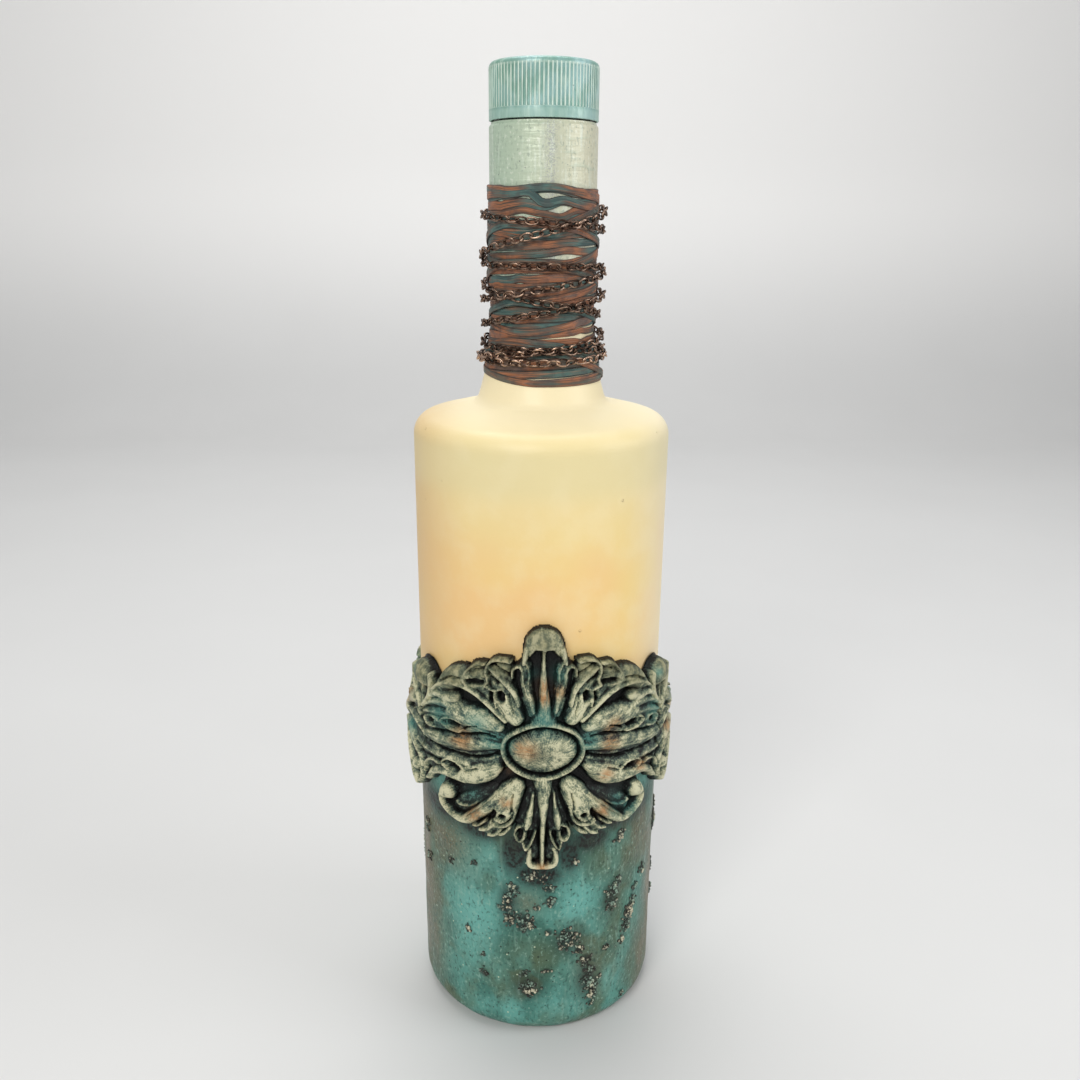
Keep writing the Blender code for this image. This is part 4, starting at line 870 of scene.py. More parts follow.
    )),
    ("bulb", 0.0041, (
        (0.0306, -0.0185, 0.0027), (0.0314, -0.0186, 0.0029), (0.0324, -0.0194, 0.0023),
    )),
    ("carve", 0.0024, (
        (0.029, -0.0168, 0.00035), (0.0283, -0.0186, 0.00035), (0.0288, -0.0204, 0.0003),
    )),
    ("rod", 0.0024, (
        (0.02, -0.0194, 0.0004), (0.0226, -0.0212, 0.0006), (0.0264, -0.0218, 0.0007),
        (0.0278, -0.021, 0.0005),
    )),
    ("bulb", 0.0039, (
        (0.0078, -0.0116, 0.0028), (0.0098, -0.0146, 0.0042), (0.011, -0.0178, 0.0044),
        (0.0116, -0.0208, 0.0034),
    )),
    ("rod", 0.0036, (
        (0.0076, -0.0186, 0.0005), (0.0083, -0.0218, 0.00055), (0.01, -0.0244, 0.0006),
        (0.0126, -0.0253, 0.0006), (0.0148, -0.0249, 0.0005), (0.0159, -0.0232, 0.00045),
    )),
    ("rod", 0.0035, (
        (0.0092, -0.0202, 0.0004), (0.01, -0.0226, 0.00045), (0.0122, -0.0238, 0.00045),
        (0.0142, -0.0232, 0.0004),
    )),
    ("carve", 0.0031, ((0.0117, -0.0216, 0.00115), (0.0121, -0.0222, 0.001))),
    ("carve", 0.0027, (
        (0.0142, -0.0206, 0.00075), (0.0149, -0.0222, 0.00075), (0.0168, -0.0244, 0.0006),
    )),
    ("carve", 0.0016, (
        (0.0094, -0.0224, 0.0004), (0.0106, -0.0237, 0.00035), (0.013, -0.0246, 0.00035),
    )),
    ("rod", 0.0033, (
        (0.015, -0.0254, 0.00075), (0.017, -0.0272, 0.0009), (0.019, -0.0276, 0.0006),
    )),
    ("rod", 0.0033, (
        (0.0126, -0.0264, 0.00075), (0.0144, -0.0284, 0.00085), (0.0164, -0.0288, 0.00055),
    )),
    ("rod", 0.0032, (
        (0.0096, -0.0256, 0.00065), (0.0114, -0.0276, 0.00075), (0.0132, -0.0282, 0.0005),
    )),
    ("rod", 0.0032, (
        (0.0174, -0.0246, 0.0006), (0.0196, -0.0264, 0.0006), (0.0212, -0.0268, 0.00045),
    )),
    ("carve", 0.0009, (
        (0.0082, -0.0134, 0.0003), (0.0088, -0.0166, 0.0003), (0.0088, -0.0196, 0.0003),
    )),
    ("bulb", 0.0032, (
        (0.003, -0.0134, 0.00045), (0.0034, -0.018, 0.0008), (0.0041, -0.0224, 0.00135),
        (0.0046, -0.0254, 0.0008),
    )),
    ("rod", 0.003, (
        (0.0052, -0.0244, 0.00045), (0.0072, -0.0254, 0.0005), (0.0081, -0.0276, 0.00055),
        (0.0072, -0.0298, 0.0005), (0.0056, -0.0296, 0.00045), (0.005, -0.0268, 0.00045),
    )),
    ("rod", 0.003, (
        (0.0021, -0.0264, 0.00045), (0.0032, -0.0302, 0.0005), (0.0048, -0.0328, 0.0005),
        (0.0057, -0.0306, 0.00045),
    )),
    ("carve", 0.0019, ((0.0065, -0.0272, 0.00085), (0.0064, -0.0282, 0.0007))),
    ("carve", 0.0018, ((0.0035, -0.027, 0.00075), (0.0041, -0.0296, 0.0006))),
    ("rod", 0.0033, (
        (0, -0.0096, 0.0032), (0, -0.0126, 0.0029), (0, -0.0165, 0.0021), (0, -0.021, 0.0013),
        (0, -0.026, 0.0009), (0, -0.032, 0.0008), (0, -0.038, 0.0008),
    )),
    ("bulb", 0.0032, (
        (0.0035, -0.0328, 0.0006), (0.004, -0.0356, 0.0009), (0.0036, -0.0379, 0.001),
        (0.0018, -0.0387, 0.0008), (0, -0.0387, 0.0008),
    )),
)

# Paint rubbed on with a fingertip, in four colours: the middle of each touch and its reach
CARTOUCHE_TOUCHES = {
    "copper": (
        (-0.0046, 0.0010, 0.0028), (-0.0064, 0.0014, 0.0022), (0.0000, 0.0176, 0.0024),
        (0.0000, 0.0210, 0.0024), (0.0205, 0.0062, 0.0026), (0.0185, -0.0090, 0.0022),
        (0.0200, 0.0000, 0.0028), (0.0042, 0.0190, 0.0018), (-0.0105, -0.0165, 0.0018),
        (-0.0250, 0.0010, 0.0034), (-0.0205, -0.0225, 0.0030), (0.0000, -0.0385, 0.0016),
        (0.0330, -0.0110, 0.0026), (-0.0105, -0.0075, 0.0016), (0.0185, -0.0210, 0.0026),
    ),
    "teal": (
        (0.0000, 0.0110, 0.0050), (-0.0140, 0.0030, 0.0044), (0.0235, -0.0205, 0.0036),
        (0.0290, -0.0235, 0.0026), (0.0036, 0.0240, 0.0026), (-0.0220, -0.0180, 0.0034),
        (0.0130, 0.0030, 0.0036), (-0.0190, 0.0075, 0.0040), (-0.0030, 0.0240, 0.0018),
        (-0.0100, 0.0020, 0.0030), (-0.0330, 0.0060, 0.0050), (0.0400, 0.0060, 0.0050),
    ),
    "bone": (
        (0.0045, 0.0000, 0.0055), (-0.0050, 0.0005, 0.0030), (0.0190, -0.0095, 0.0035),
        (-0.0200, -0.0090, 0.0050), (-0.0190, 0.0085, 0.0035), (0.0290, -0.0190, 0.0030),
        (-0.0290, -0.0190, 0.0030), (0.0090, -0.0150, 0.0040), (-0.0090, -0.0150, 0.0040),
        (0.0100, 0.0130, 0.0030), (-0.0100, 0.0130, 0.0030), (0.0000, -0.0180, 0.0024),
        (0.0040, -0.0365, 0.0020), (-0.0040, -0.0365, 0.0020), (0.0000, 0.0310, 0.0022),
        (0.0300, 0.0130, 0.0024), (-0.0300, 0.0130, 0.0024),
    ),
    "olive": (
        (0.0000, 0.0345, 0.0060), (0.0120, 0.0260, 0.0040), (-0.0120, 0.0260, 0.0040),
        (0.0280, 0.0205, 0.0060), (-0.0280, 0.0205, 0.0060), (0.0200, 0.0240, 0.0040),
        (-0.0200, 0.0240, 0.0040),
    ),
}


def between(a, b, c, d, t):
    """A smooth way from b to c at a share of it, led by their neighbours a and d."""
    bend = (2 * a - 5 * b + 4 * c - d) * t ** 2 + (3 * b - a - 3 * c + d) * t ** 3
    return (2 * b + (c - a) * t + bend) / 2


def curve(points, steps=4):
    """A smooth curve through the points of a stroke."""
    rows = np.array(points, float)
    if len(rows) == 1:
        return np.vstack((rows, rows))
    ends = np.vstack((2 * rows[0] - rows[1], rows, 2 * rows[-1] - rows[-2]))
    fours = zip(ends, ends[1:], ends[2:], ends[3:])
    made = [between(*four, t) for four in fours for t in np.arange(steps) / steps]
    return np.vstack((made, rows[-1:]))


def nearest(across, up, points):
    """Distance from a stroke's middle as a share of its half width, its side and the place along."""
    rows = curve(points)
    best = np.full(across.shape, np.inf)
    side = np.zeros(across.shape)
    along = np.zeros(across.shape)
    for i, ((ax, az, aw), (bx, bz, bw)) in enumerate(zip(rows, rows[1:])):
        dx, dz = bx - ax, bz - az
        span = max(dx * dx + dz * dz, 1e-12)
        t = np.clip(((across - ax) * dx + (up - az) * dz) / span, 0, 1)
        px, pz = across - ax - t * dx, up - az - t * dz
        away = np.hypot(px, pz)
        share = away / (aw + (bw - aw) * t)
        take = share < best
        best = np.where(take, share, best)
        side = np.where(take, np.where(dx * pz - dz * px >= 0, away, -away), side)
        along = np.where(take, (i + t) / (len(rows) - 1), along)
    return best, side, along


def raise_stroke(heights, across, up, kind, height, points):
    """Heights with one stroke laid on them, or cut into them, near its own points."""
    rows = np.array(points)
    reach = STROKE_REACH * rows[:, 2].max()
    near = (across > rows[:, 0].min() - reach) & (across < rows[:, 0].max() + reach)
    near &= (up > rows[:, 1].min() - reach) & (up < rows[:, 1].max() + reach)
    share, side, along = nearest(across[near], up[near], points)
    old = heights[near]
    if kind == "plate":
        new = np.maximum(old, SUNK - SUNK * np.clip((PLATE_EDGE - share) / PLATE_SLOPE, 0, 1))
        heights[near] = new
        return
    laid = height * np.clip(1 - share ** 2, 0, 1) ** ROUNDNESS[kind]
    if kind == "carve":
        new = np.where(old > 0, np.maximum(old - laid, 0), old)
    else:
        if kind == "leaf":
            wave = 1 - np.cos(2 * math.pi * side / VEIN_SPACING)
            laid = laid - VEIN_DEPTH * wave * np.clip(along * 1.6 - 0.3, 0, 1)
        even = np.clip(0.5 + (old - laid) / (2 * BLEND), 0, 1)
        joined = old * even + laid * (1 - even) + BLEND * even * (1 - even)
        new = np.where(share < 1, np.maximum(joined, old), old)
    heights[near] = new


def stroked(across, up, strokes):
    """The relief's height over the belt's floor at distances from a piece's middle."""
    heights = np.full(across.shape, SUNK)
    for kind, height, points in strokes:
        raise_stroke(heights, np.abs(across), up, kind, height, points)
    return heights


def with_boss(heights, across, up):
    """Heights with the oval boss and its rim laid on them."""
    oval = np.hypot(across / RIM_HALF_WIDTH, up / RIM_HALF_HEIGHT)
    heights = np.where(oval < 1, GROOVE_HEIGHT, heights)
    away = (oval - 1) * np.hypot(across, up) / np.maximum(oval, 1e-6)
    rim = RIM_RISE * np.sqrt(np.clip(1 - (away / RIM_BREADTH) ** 2, 0, 1))
    heights = np.where(np.abs(away) < RIM_BREADTH, np.maximum(heights, rim), heights)
    inside = np.hypot(across / BOSS_HALF_WIDTH, up / BOSS_HALF_HEIGHT)
    dome = np.clip(1 - inside ** BOSS_FULLNESS, 0, 1) ** BOSS_ROUNDNESS
    boss = BOSS_FOOT + BOSS_RISE * dome
    return np.where(inside < 1, np.maximum(heights, boss), heights)


def blurred(values, reach):
    """The values averaged over a reach of cells to each side, twice in each direction."""
    kernel = np.ones(2 * reach + 1) / (2 * reach + 1)
    for axis in (0, 1, 0, 1):
        padded = np.pad(values, [(reach, reach) if k == axis else (0, 0) for k in (0, 1)], mode="edge")
        values = np.apply_along_axis(np.convolve, axis, padded, kernel, "valid")
    return values


def touches(across, up, rows):
    """Soft round touches of paint at their places."""
    most = np.zeros_like(across)
    for x, z, reach in rows:
        most = np.maximum(most, np.exp(-((across - x) ** 2 + (up - z) ** 2) / reach ** 2))
    return most


def relief_piece(name, across, up, heights, turn, touched, finish):
    """A closed cast piece: the relief in front, wrapped round the body, and a plain back."""
    kept = heights > SUNK * 0.8
    cells = kept[:-1, :-1] | kept[1:, :-1] | kept[:-1, 1:] | kept[1:, 1:]
    for _ in range(4):
        a, b, c, d = cells[:-1, :-1], cells[:-1, 1:], cells[1:, :-1], cells[1:, 1:]
        crossed = (a & d & ~b & ~c) | (b & c & ~a & ~d)
        cells[:-1, :-1] |= crossed
        cells[:-1, 1:] |= crossed
    rows, columns = across.shape
    faces = quads(rows, columns, False, False)[cells.ravel()]
    used, faces = np.unique(faces, return_inverse=True)
    faces = faces.reshape(-1, 4)
    angle = across.ravel()[used] / BELT_SCALE_RADIUS + turn
    level = BELT_HEIGHT + up.ravel()[used]
    front = np.clip(BELT_FLOOR + heights.ravel()[used], BELT_FOOT, BELT_MOST)
    front = np.minimum(front, BELT_SIDE / np.maximum(np.abs(np.sin(angle)), 0.5))

    def wrapped(radius):
        return np.stack((radius * np.sin(angle), -radius * np.cos(angle), level), axis=-1)

    count = len(used)
    edges = np.stack((faces, np.roll(faces, -1, axis=1)), axis=-1).reshape(-1, 2)
    ordered = np.sort(edges, axis=1)
    _, first, times = np.unique(ordered, axis=0, return_index=True, return_counts=True)
    border = edges[first[times == 1]]
    wall = np.stack((border[:, 0], border[:, 1], border[:, 1] + count, border[:, 0] + count), axis=-1)
    points = np.concatenate((wrapped(front), wrapped(BELT_BACK + 0 * angle)))
    shell = np.concatenate((faces, faces[:, ::-1] + count, wall))
    item = mesh_piece(name, points, shell, finish, merge=0)
    lifted = np.maximum(heights, SUNK / 5)
    crest = (lifted - blurred(lifted, CREST_CELLS)) / CREST_HEIGHT
    broad = (lifted - blurred(lifted, BROAD_CELLS)) / BROAD_HEIGHT
    brush = (np.hypot(across, up), np.arctan2(up, across) * BRUSH_REACH, 0 * up)
    brush = np.stack(brush, axis=-1)
    layers = {
        "crest": np.clip(0.5 + 0.5 * crest, 0, 1),
        "broad": np.clip(0.5 + 0.5 * broad, 0, 1),
        "tall": np.clip(heights / TALL_HEIGHT, 0, 1),
    }
    layers.update({key: touches(across, up, rows) for key, rows in touched.items()})
    for key, values in layers.items():
        set_attribute(item.data, key, np.tile(values.ravel()[used], 2))
    brush = np.tile(brush.reshape(-1, 3)[used], (2, 1))
    set_attribute(item.data, "brush", brush, "FLOAT_VECTOR")
    return item


def ramp(finish, value, *stops):
    """Colours along a value, given as (place, colour) stops."""
    node = finish.add("ShaderNodeValToRGB", {"Fac": value})
    while len(node.color_ramp.elements) < len(stops):
        node.color_ramp.elements.new(1)
    for element, (position, colour) in zip(node.color_ramp.elements, stops):
        element.position, element.color = position, colour
    return node.outputs["Color"]


cast = Finish("dry_brushed_cast", 0.46, 0.05)
speckle = cast.noise(0.00045, 5, seed=1)
bristle = cast.noise(0.00042, 4, (7, 1, 1), seed=2, place=cast.attribute("brush", "Vector"))
daub = cast.noise(0.0022, 3, seed=3)
crest = cast.attribute("crest")
tall = cast.attribute("tall")
broad = cast.attribute("broad")
proud = cast.calc("MULTIPLY", tall, 0.36)
proud = cast.calc("MULTIPLY_ADD", broad, 0.30, proud)
proud = cast.calc("MULTIPLY_ADD", crest, 0.30, proud)
for cloudy, share in ((speckle, 0.85), (bristle, 0.80), (daub, 0.90)):
    proud = cast.calc("MULTIPLY_ADD", cast.calc("SUBTRACT", cloudy, 0.5), share, proud)
proud = cast.calc("MULTIPLY_ADD", cast.attribute("bone"), cast.calc("MULTIPLY", tall, 0.20), proud)
colour = ramp(
    cast,
    proud,
    (0.24, shade(13, 14, 13)), (0.40, shade(29, 33, 31)), (0.53, shade(62, 76, 69)),
    (0.68, shade(106, 120, 102)), (0.83, shade(160, 163, 132)), (0.98, shade(216, 213, 178)),
)
olive = cast.calc("MULTIPLY", cast.attribute("olive"), cast.window(tall, 0.25, 0.60, 0, 0.80))
olive = cast.calc("MULTIPLY", olive, cast.window(proud, 0.30, 0.52, 0.2, 1))
mossy = cast.mix(cast.window(daub, 0.40, 0.62), shade(94, 98, 74), shade(146, 142, 106))
colour = cast.mix(olive, colour, mossy)
tealed = cast.calc("MULTIPLY", cast.attribute("teal"), cast.window(proud, 0.34, 0.62, 0.1, 0.62))
colour = cast.mix(tealed, colour, shade(70, 142, 134))
coppered = cast.calc("MULTIPLY", cast.attribute("copper"), cast.window(proud, 0.38, 0.68, 0.1, 1))
coppered = cast.calc("MULTIPLY", coppered, cast.window(bristle, 0.34, 0.58, 0.25, 0.82))
colour = cast.mix(coppered, colour, shade(182, 124, 68))
cast.set("Base Color", colour)
cast.set("Specular IOR Level", 0.3)
cast.set("Roughness", cast.window(speckle, 0.3, 0.7, 0.34, 0.56))
rough = cast.calc("ADD", bristle, cast.calc("MULTIPLY", daub, 0.8))
cast.bump(cast.calc("ADD", speckle, rough), 0.00032)

half_width = CARTOUCHE_HALF_ANGLE * BELT_SCALE_RADIUS
count = round(half_width / BELT_CELL)
across = np.linspace(-half_width, half_width, 2 * count + 1)
rows = round(2 * CARTOUCHE_HALF_HEIGHT / BELT_CELL)
up = np.linspace(-CARTOUCHE_HALF_HEIGHT, CARTOUCHE_HALF_HEIGHT, rows + 1)
up, across = np.meshgrid(up, across, indexing="ij")
flat = np.stack((across, up, 0 * up), axis=-1)
drift_x, drift_z = [HAND_DRIFT * cloud(flat, 0.0070, seed) for seed in (21, 22)]
heights = stroked(across + drift_x, up + drift_z, CARTOUCHE_STROKES)
heights = with_boss(heights, across + drift_x, up + drift_z)
heights = heights + CAST_GRAIN * cloud(flat, 0.0011, 23) * (heights > 0)
for turn, side in ((0, "front"), (math.pi, "rear")):
    name = "rococo_cartouche_" + side
    cartouche = relief_piece(name, across, up, heights, turn, CARTOUCHE_TOUCHES, cast)
    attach(cartouche, "bottle")
    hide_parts("cartouche_" + side)

# Side panels. A low cast piece on each side that closes the belt between the cartouches: leaves round
# a small boss over two scrolls. Cast from a mould of its own and painted as the cartouches are.
PANEL_HALF_ANGLE = 0.5168
PANEL_DRIFT = 0.0003
PANEL_LOW = -0.0250
PANEL_HIGH = 0.0132
PANEL_STROKES = (
    ("plate", 0, ((0, -0.002, 0.0114), (0.009, -0.001, 0.012), (0.0146, -0.0016, 0.0124))),
    ("plate", 0, ((0.0214, -0.003, 0.007), (0.016, -0.004, 0.0126))),
    ("plate", 0, ((0.0086, -0.012, 0.0054), (0.0136, -0.0174, 0.006), (0.0162, -0.0184, 0.005))),
    ("plate", 0, ((0, -0.012, 0.0052), (0, -0.0194, 0.0032))),
    ("bed", 0.0022, ((0.0056, 0.0034, 0.004), (0.0116, 0.005, 0.0054), (0.0176, 0.0034, 0.0048))),
    ("bed", 0.0022, (
        (0.0066, -0.0054, 0.0034), (0.014, -0.0064, 0.0046), (0.0206, -0.008, 0.0044),
    )),
    ("bed", 0.0016, ((0, -0.0106, 0.0034), (0, -0.0156, 0.0026), (0, -0.02, 0.0016))),
    ("ball", 0.004, ((0, -0.0036, 0.0044), (0.0006, -0.0036, 0.0043))),
    ("rod", 0.003, (
        (0.0042, 0.0002, 0.0006), (0.0066, 0.0046, 0.00075), (0.0078, 0.0082, 0.0007),
        (0.0066, 0.01, 0.0006),
    )),
    ("bulb", 0.0037, (
        (0.0054, 0.0004, 0.0014), (0.0088, 0.0034, 0.0023), (0.013, 0.0056, 0.0026),
        (0.0166, 0.006, 0.002),
    )),
    ("leaf", 0.0032, (
        (0.012, 0.0074, 0.0018), (0.016, 0.0078, 0.002), (0.019, 0.0052, 0.0014),
        (0.0214, 0.0026, 0.001),
    )),
    ("rod", 0.0035, (
        (0.0102, 0.0066, 0.00055), (0.0136, 0.0098, 0.00065), (0.0168, 0.01, 0.00065),
        (0.0194, 0.0068, 0.0006), (0.0214, 0.004, 0.0005),
    )),
    ("carve", 0.002, ((0.0116, 0.0084, 0.0005), (0.0146, 0.0082, 0.0006))),
    ("rod", 0.0033, ((0.0156, 0.002, 0.0005), (0.0184, 0.0034, 0.0006), (0.0206, 0.0018, 0.00055))),
    ("leaf", 0.003, (
        (0.0052, -0.0024, 0.0013), (0.011, -0.0006, 0.0022), (0.017, -0.0014, 0.0023),
        (0.0216, -0.003, 0.0022),
    )),
    ("rod", 0.0034, (
        (0.005, -0.0024, 0.0006), (0.012, -0.0004, 0.00085), (0.0216, -0.0029, 0.00075),
    )),
    ("carve", 0.0018, (
        (0.0064, 0.0002, 0.0004), (0.011, 0.0026, 0.0005), (0.0164, 0.0015, 0.00045),
        (0.0212, -0.0004, 0.0004),
    )),
    ("carve", 0.0018, (
        (0.0066, -0.0043, 0.0004), (0.012, -0.0032, 0.0005), (0.017, -0.0044, 0.00045),
        (0.0214, -0.0056, 0.0004),
    )),
    ("bulb", 0.0038, (
        (0.0048, -0.0062, 0.0012), (0.009, -0.0068, 0.0022), (0.013, -0.0076, 0.0024),
        (0.0162, -0.008, 0.0016),
    )),
    ("leaf", 0.0031, (
        (0.014, -0.007, 0.0016), (0.018, -0.0078, 0.0016), (0.0216, -0.0084, 0.0014),
    )),
    ("leaf", 0.0032, (
        (0.0096, -0.0104, 0.0014), (0.0144, -0.0114, 0.0019), (0.0186, -0.0132, 0.0016),
        (0.0204, -0.0156, 0.001),
    )),
    ("rod", 0.0035, (
        (0.013, -0.0094, 0.0005), (0.0164, -0.0092, 0.0006), (0.0186, -0.0106, 0.0006),
        (0.0166, -0.012, 0.0005),
    )),
    ("carve", 0.0028, ((0.0152, -0.0105, 0.0009), (0.0168, -0.0106, 0.0008))),
    ("ball", 0.004, ((0.0152, -0.0176, 0.0023), (0.0156, -0.0174, 0.0022))),
    ("rod", 0.0033, (
        (0.0186, -0.015, 0.0006), (0.0199, -0.0178, 0.00085), (0.0192, -0.021, 0.001),
        (0.0164, -0.0229, 0.0011),
    )),
    ("bulb", 0.0037, (
        (0.0168, -0.023, 0.0011), (0.013, -0.0212, 0.0017), (0.0094, -0.0168, 0.0023),
        (0.0066, -0.0128, 0.0019), (0.0042, -0.009, 0.0012),
    )),
    ("rod", 0.0039, (
        (0.0146, -0.0218, 0.0005), (0.0102, -0.0162, 0.0006), (0.0064, -0.011, 0.0005),
    )),
    ("carve", 0.0009, (
        (0.0132, -0.0224, 0.00035), (0.009, -0.0184, 0.0004), (0.006, -0.0142, 0.00035),
    )),
    ("rod", 0.0034, (
        (0, -0.0084, 0.0016), (0, -0.012, 0.0015), (0, -0.016, 0.0011), (0, -0.0204, 0.0008),
        (0, -0.0222, 0.0006),
    )),
    ("rod", 0.003, (
        (0.0022, -0.0098, 0.0006), (0.0032, -0.0134, 0.0007), (0.0024, -0.0174, 0.0006),
        (0.001, -0.0204, 0.0005),
    )),
    ("carve", 0.0012, ((0.0015, -0.0114, 0.00035), (0.0017, -0.0154, 0.0004))),
)
PANEL_TOUCHES = {
    "copper": ((0.0090, 0.0050, 0.0030), (-0.0120, -0.0070, 0.0030), (-0.0020, -0.0020, 0.0024)),
    "teal": ((-0.0090, 0.0060, 0.0040), (0.0110, -0.0060, 0.0040), (0.0000, -0.0140, 0.0030)),
    "bone": ((0.0000, -0.0020, 0.0040), (0.0130, 0.0050, 0.0030), (-0.0130, -0.0080, 0.0030)),
    "olive": ((0.0120, 0.0080, 0.0050), (-0.0120, 0.0080, 0.0050)),
}

# The upper leaves stoop towards the middle, where the belt is lowest
PANEL_STOOP = 0.0112
PANEL_STOOP_REACH = 0.0095
PANEL_LEVEL = -0.0036

half_width = PANEL_HALF_ANGLE * BELT_SCALE_RADIUS
across = np.linspace(-half_width, half_width, 2 * round(half_width / BELT_CELL) + 1)
up = np.linspace(PANEL_LOW, PANEL_HIGH, round((PANEL_HIGH - PANEL_LOW) / BELT_CELL) + 1)
up, across = np.meshgrid(up, across, indexing="ij")
crown = PANEL_HIGH - PANEL_STOOP * np.exp(-(across / PANEL_STOOP_REACH) ** 2)
stretch = (PANEL_HIGH - PANEL_LEVEL) / (crown - PANEL_LEVEL)
drawn = np.where(up > PANEL_LEVEL, PANEL_LEVEL + (up - PANEL_LEVEL) * stretch, up)
flat = np.stack((across, up, 0 * up), axis=-1)
for k, side in enumerate(("right", "left")):
    bent = PANEL_DRIFT * cloud(flat, 0.0060, 25 + k)
    heights = stroked(across + bent, drawn + bent[:, ::-1], PANEL_STROKES)
    turn = math.pi * (k + 0.5)
    panel = relief_piece("scroll_panel_" + side, across, up, heights, turn, PANEL_TOUCHES, cast)
    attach(panel, "bottle")
    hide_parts("side_panel_" + side)

# Palmettes. A narrow cast piece over each joint of cartouche and panel: a domed knob over a dark
# hollow, on two arms that meet in a foot. Cast and painted as the cartouches are, and glued on last.
PALMETTE_HALF_WIDTH = 0.0068
PALMETTE_LOW = 0.0030
PALMETTE_HIGH = 0.0240
PALMETTE_DRIFT = 0.0003
PALMETTE_STROKES = (
    ("plate", 0, ((0, 0.0148, 0.006), (0, 0.011, 0.0054), (0, 0.0065, 0.003))),
    ("bed", 0.0016, ((0, 0.015, 0.0056), (0, 0.011, 0.0054), (0, 0.007, 0.003))),
    ("ball", 0.0042, ((0, 0.0156, 0.005),)),
    ("carve", 0.004, ((0.0006, 0.0122, 0.0017), (0.0022, 0.0117, 0.0016))),
    ("rod", 0.0034, (
        (0.005, 0.0172, 0.0012), (0.0053, 0.0142, 0.0011), (0.0044, 0.0108, 0.0011),
        (0.0024, 0.008, 0.0011), (0.0006, 0.0058, 0.001),
    )),
    ("rod", 0.0026, ((0, 0.015, 0.0005), (0, 0.0115, 0.0007), (0, 0.007, 0.001))),
    ("rod", 0.002, ((0.0022, 0.0135, 0.0004), (0.0026, 0.0112, 0.0005), (0.0014, 0.009, 0.0004))),
)
PALMETTE_TOUCHES = {
    "copper": ((0.0014, 0.0125, 0.0010),),
    "teal": ((-0.0030, 0.0170, 0.0016),),
    "bone": ((0.0040, 0.0110, 0.0020), (-0.0040, 0.0110, 0.0020)),
    "olive": ((0.0000, 0.0172, 0.0060),),
}
PALMETTE_TURNS = {"front_right": 60, "rear_right": 120, "rear_left": 240, "front_left": 300}
PALMETTE_CELL = BELT_CELL / 1.3

across = np.arange(-PALMETTE_HALF_WIDTH, PALMETTE_HALF_WIDTH + BELT_CELL, PALMETTE_CELL)
up = np.arange(PALMETTE_LOW, PALMETTE_HIGH, PALMETTE_CELL)
up, across = np.meshgrid(up, across, indexing="ij")
flat = np.stack((across, up, 0 * up), axis=-1)
for k, (side, degrees) in enumerate(PALMETTE_TURNS.items()):
    bent = PALMETTE_DRIFT * cloud(flat, 0.0050, 31 + k)
    heights = stroked(across + bent, up, PALMETTE_STROKES)
    turn = math.radians(degrees)
    name = "knob_palmette_" + side
    palmette = relief_piece(name, across, up, heights, turn, PALMETTE_TOUCHES, cast)
    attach(palmette, "bottle")
    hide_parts("palmette_" + side)

# Closure skirt. A thin aluminium sleeve, drawn in at its top edge where the cap tore free from it. It
# was brushed with pale green paint that yellows to one side and lets specks of the metal through.
SKIRT_WALL = 0.0004
SKIRT_DRAW = 0.00055
SKIRT_DRAW_LENGTH = 0.0011

wash = Finish("brushed_pale_green", 0.40, 0.1)
stroke = wash.noise(0.0012, 4, (1, 1, 11), seed=1)
cross = wash.noise(0.0012, 3, (9, 9, 1), seed=2)
turn_x = wash.window(wash.channel(wash.place, "X"), -0.0150, 0.0130)
colour = wash.mix(turn_x, shade(178, 198, 176), shade(212, 210, 184))
colour = wash.mix(wash.window(stroke, 0.52, 0.74, 0, 0.55), colour, shade(226, 236, 224))
colour = wash.mix(wash.window(cross, 0.56, 0.74, 0, 0.30), colour, shade(160, 186, 168))
fleck = wash.noise(0.0007, 4, (1, 1, 1.6), seed=5)
colour = wash.mix(wash.window(fleck, 0.44, 0.32, 0, 0.5), colour, shade(140, 154, 140))
colour = wash.mix(wash.window(fleck, 0.58, 0.70, 0, 0.5), colour, shade(234, 238, 224))
across_middle = wash.calc("SUBTRACT", wash.channel(wash.place, "X"), 0.0014)
across_middle = wash.calc("ABSOLUTE", across_middle)
dust = wash.noise(0.00032, 3, seed=6)
worn = wash.window(dust, 0.54, 0.40, 0, 0.6)
worn = wash.calc("MULTIPLY", wash.window(across_middle, 0.0030, 0.0002), worn)
colour = wash.mix(worn, colour, shade(158, 158, 166))
colour = wash.mix(wash.specks(0.0014, 0.16, 0.16, seed=3), colour, shade(124, 134, 126))
colour = wash.mix(wash.specks(0.0026, 0.08, 0.20, seed=4), colour, shade(160, 104, 88))
wash.set("Base Color", colour)
wash.bump(wash.calc("ADD", stroke, cross), 0.00022)

inside = CLOSURE_RADIUS - SKIRT_WALL
profile = rounded([
    (inside, SKIRT_BOTTOM, 0),
    (CLOSURE_RADIUS, SKIRT_BOTTOM, SKIRT_WALL / 3),
    (CLOSURE_RADIUS, SKIRT_TOP - SKIRT_DRAW_LENGTH, 0.0005),
    (CLOSURE_RADIUS - SKIRT_DRAW, SKIRT_TOP - SKIRT_DRAW_LENGTH / 3, 0.0002),
    (CLOSURE_RADIUS - SKIRT_DRAW, SKIRT_TOP, SKIRT_WALL / 4),
    (inside - SKIRT_DRAW, SKIRT_TOP, 0),
    (inside - SKIRT_DRAW, SKIRT_TOP - SKIRT_DRAW_LENGTH / 3, 0),
    (inside, SKIRT_TOP - SKIRT_DRAW_LENGTH, 0),
])
skirt = turned("closure_sleeve", profile, 160, True, wash)
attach(skirt, "bottle")
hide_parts("closure_skirt")

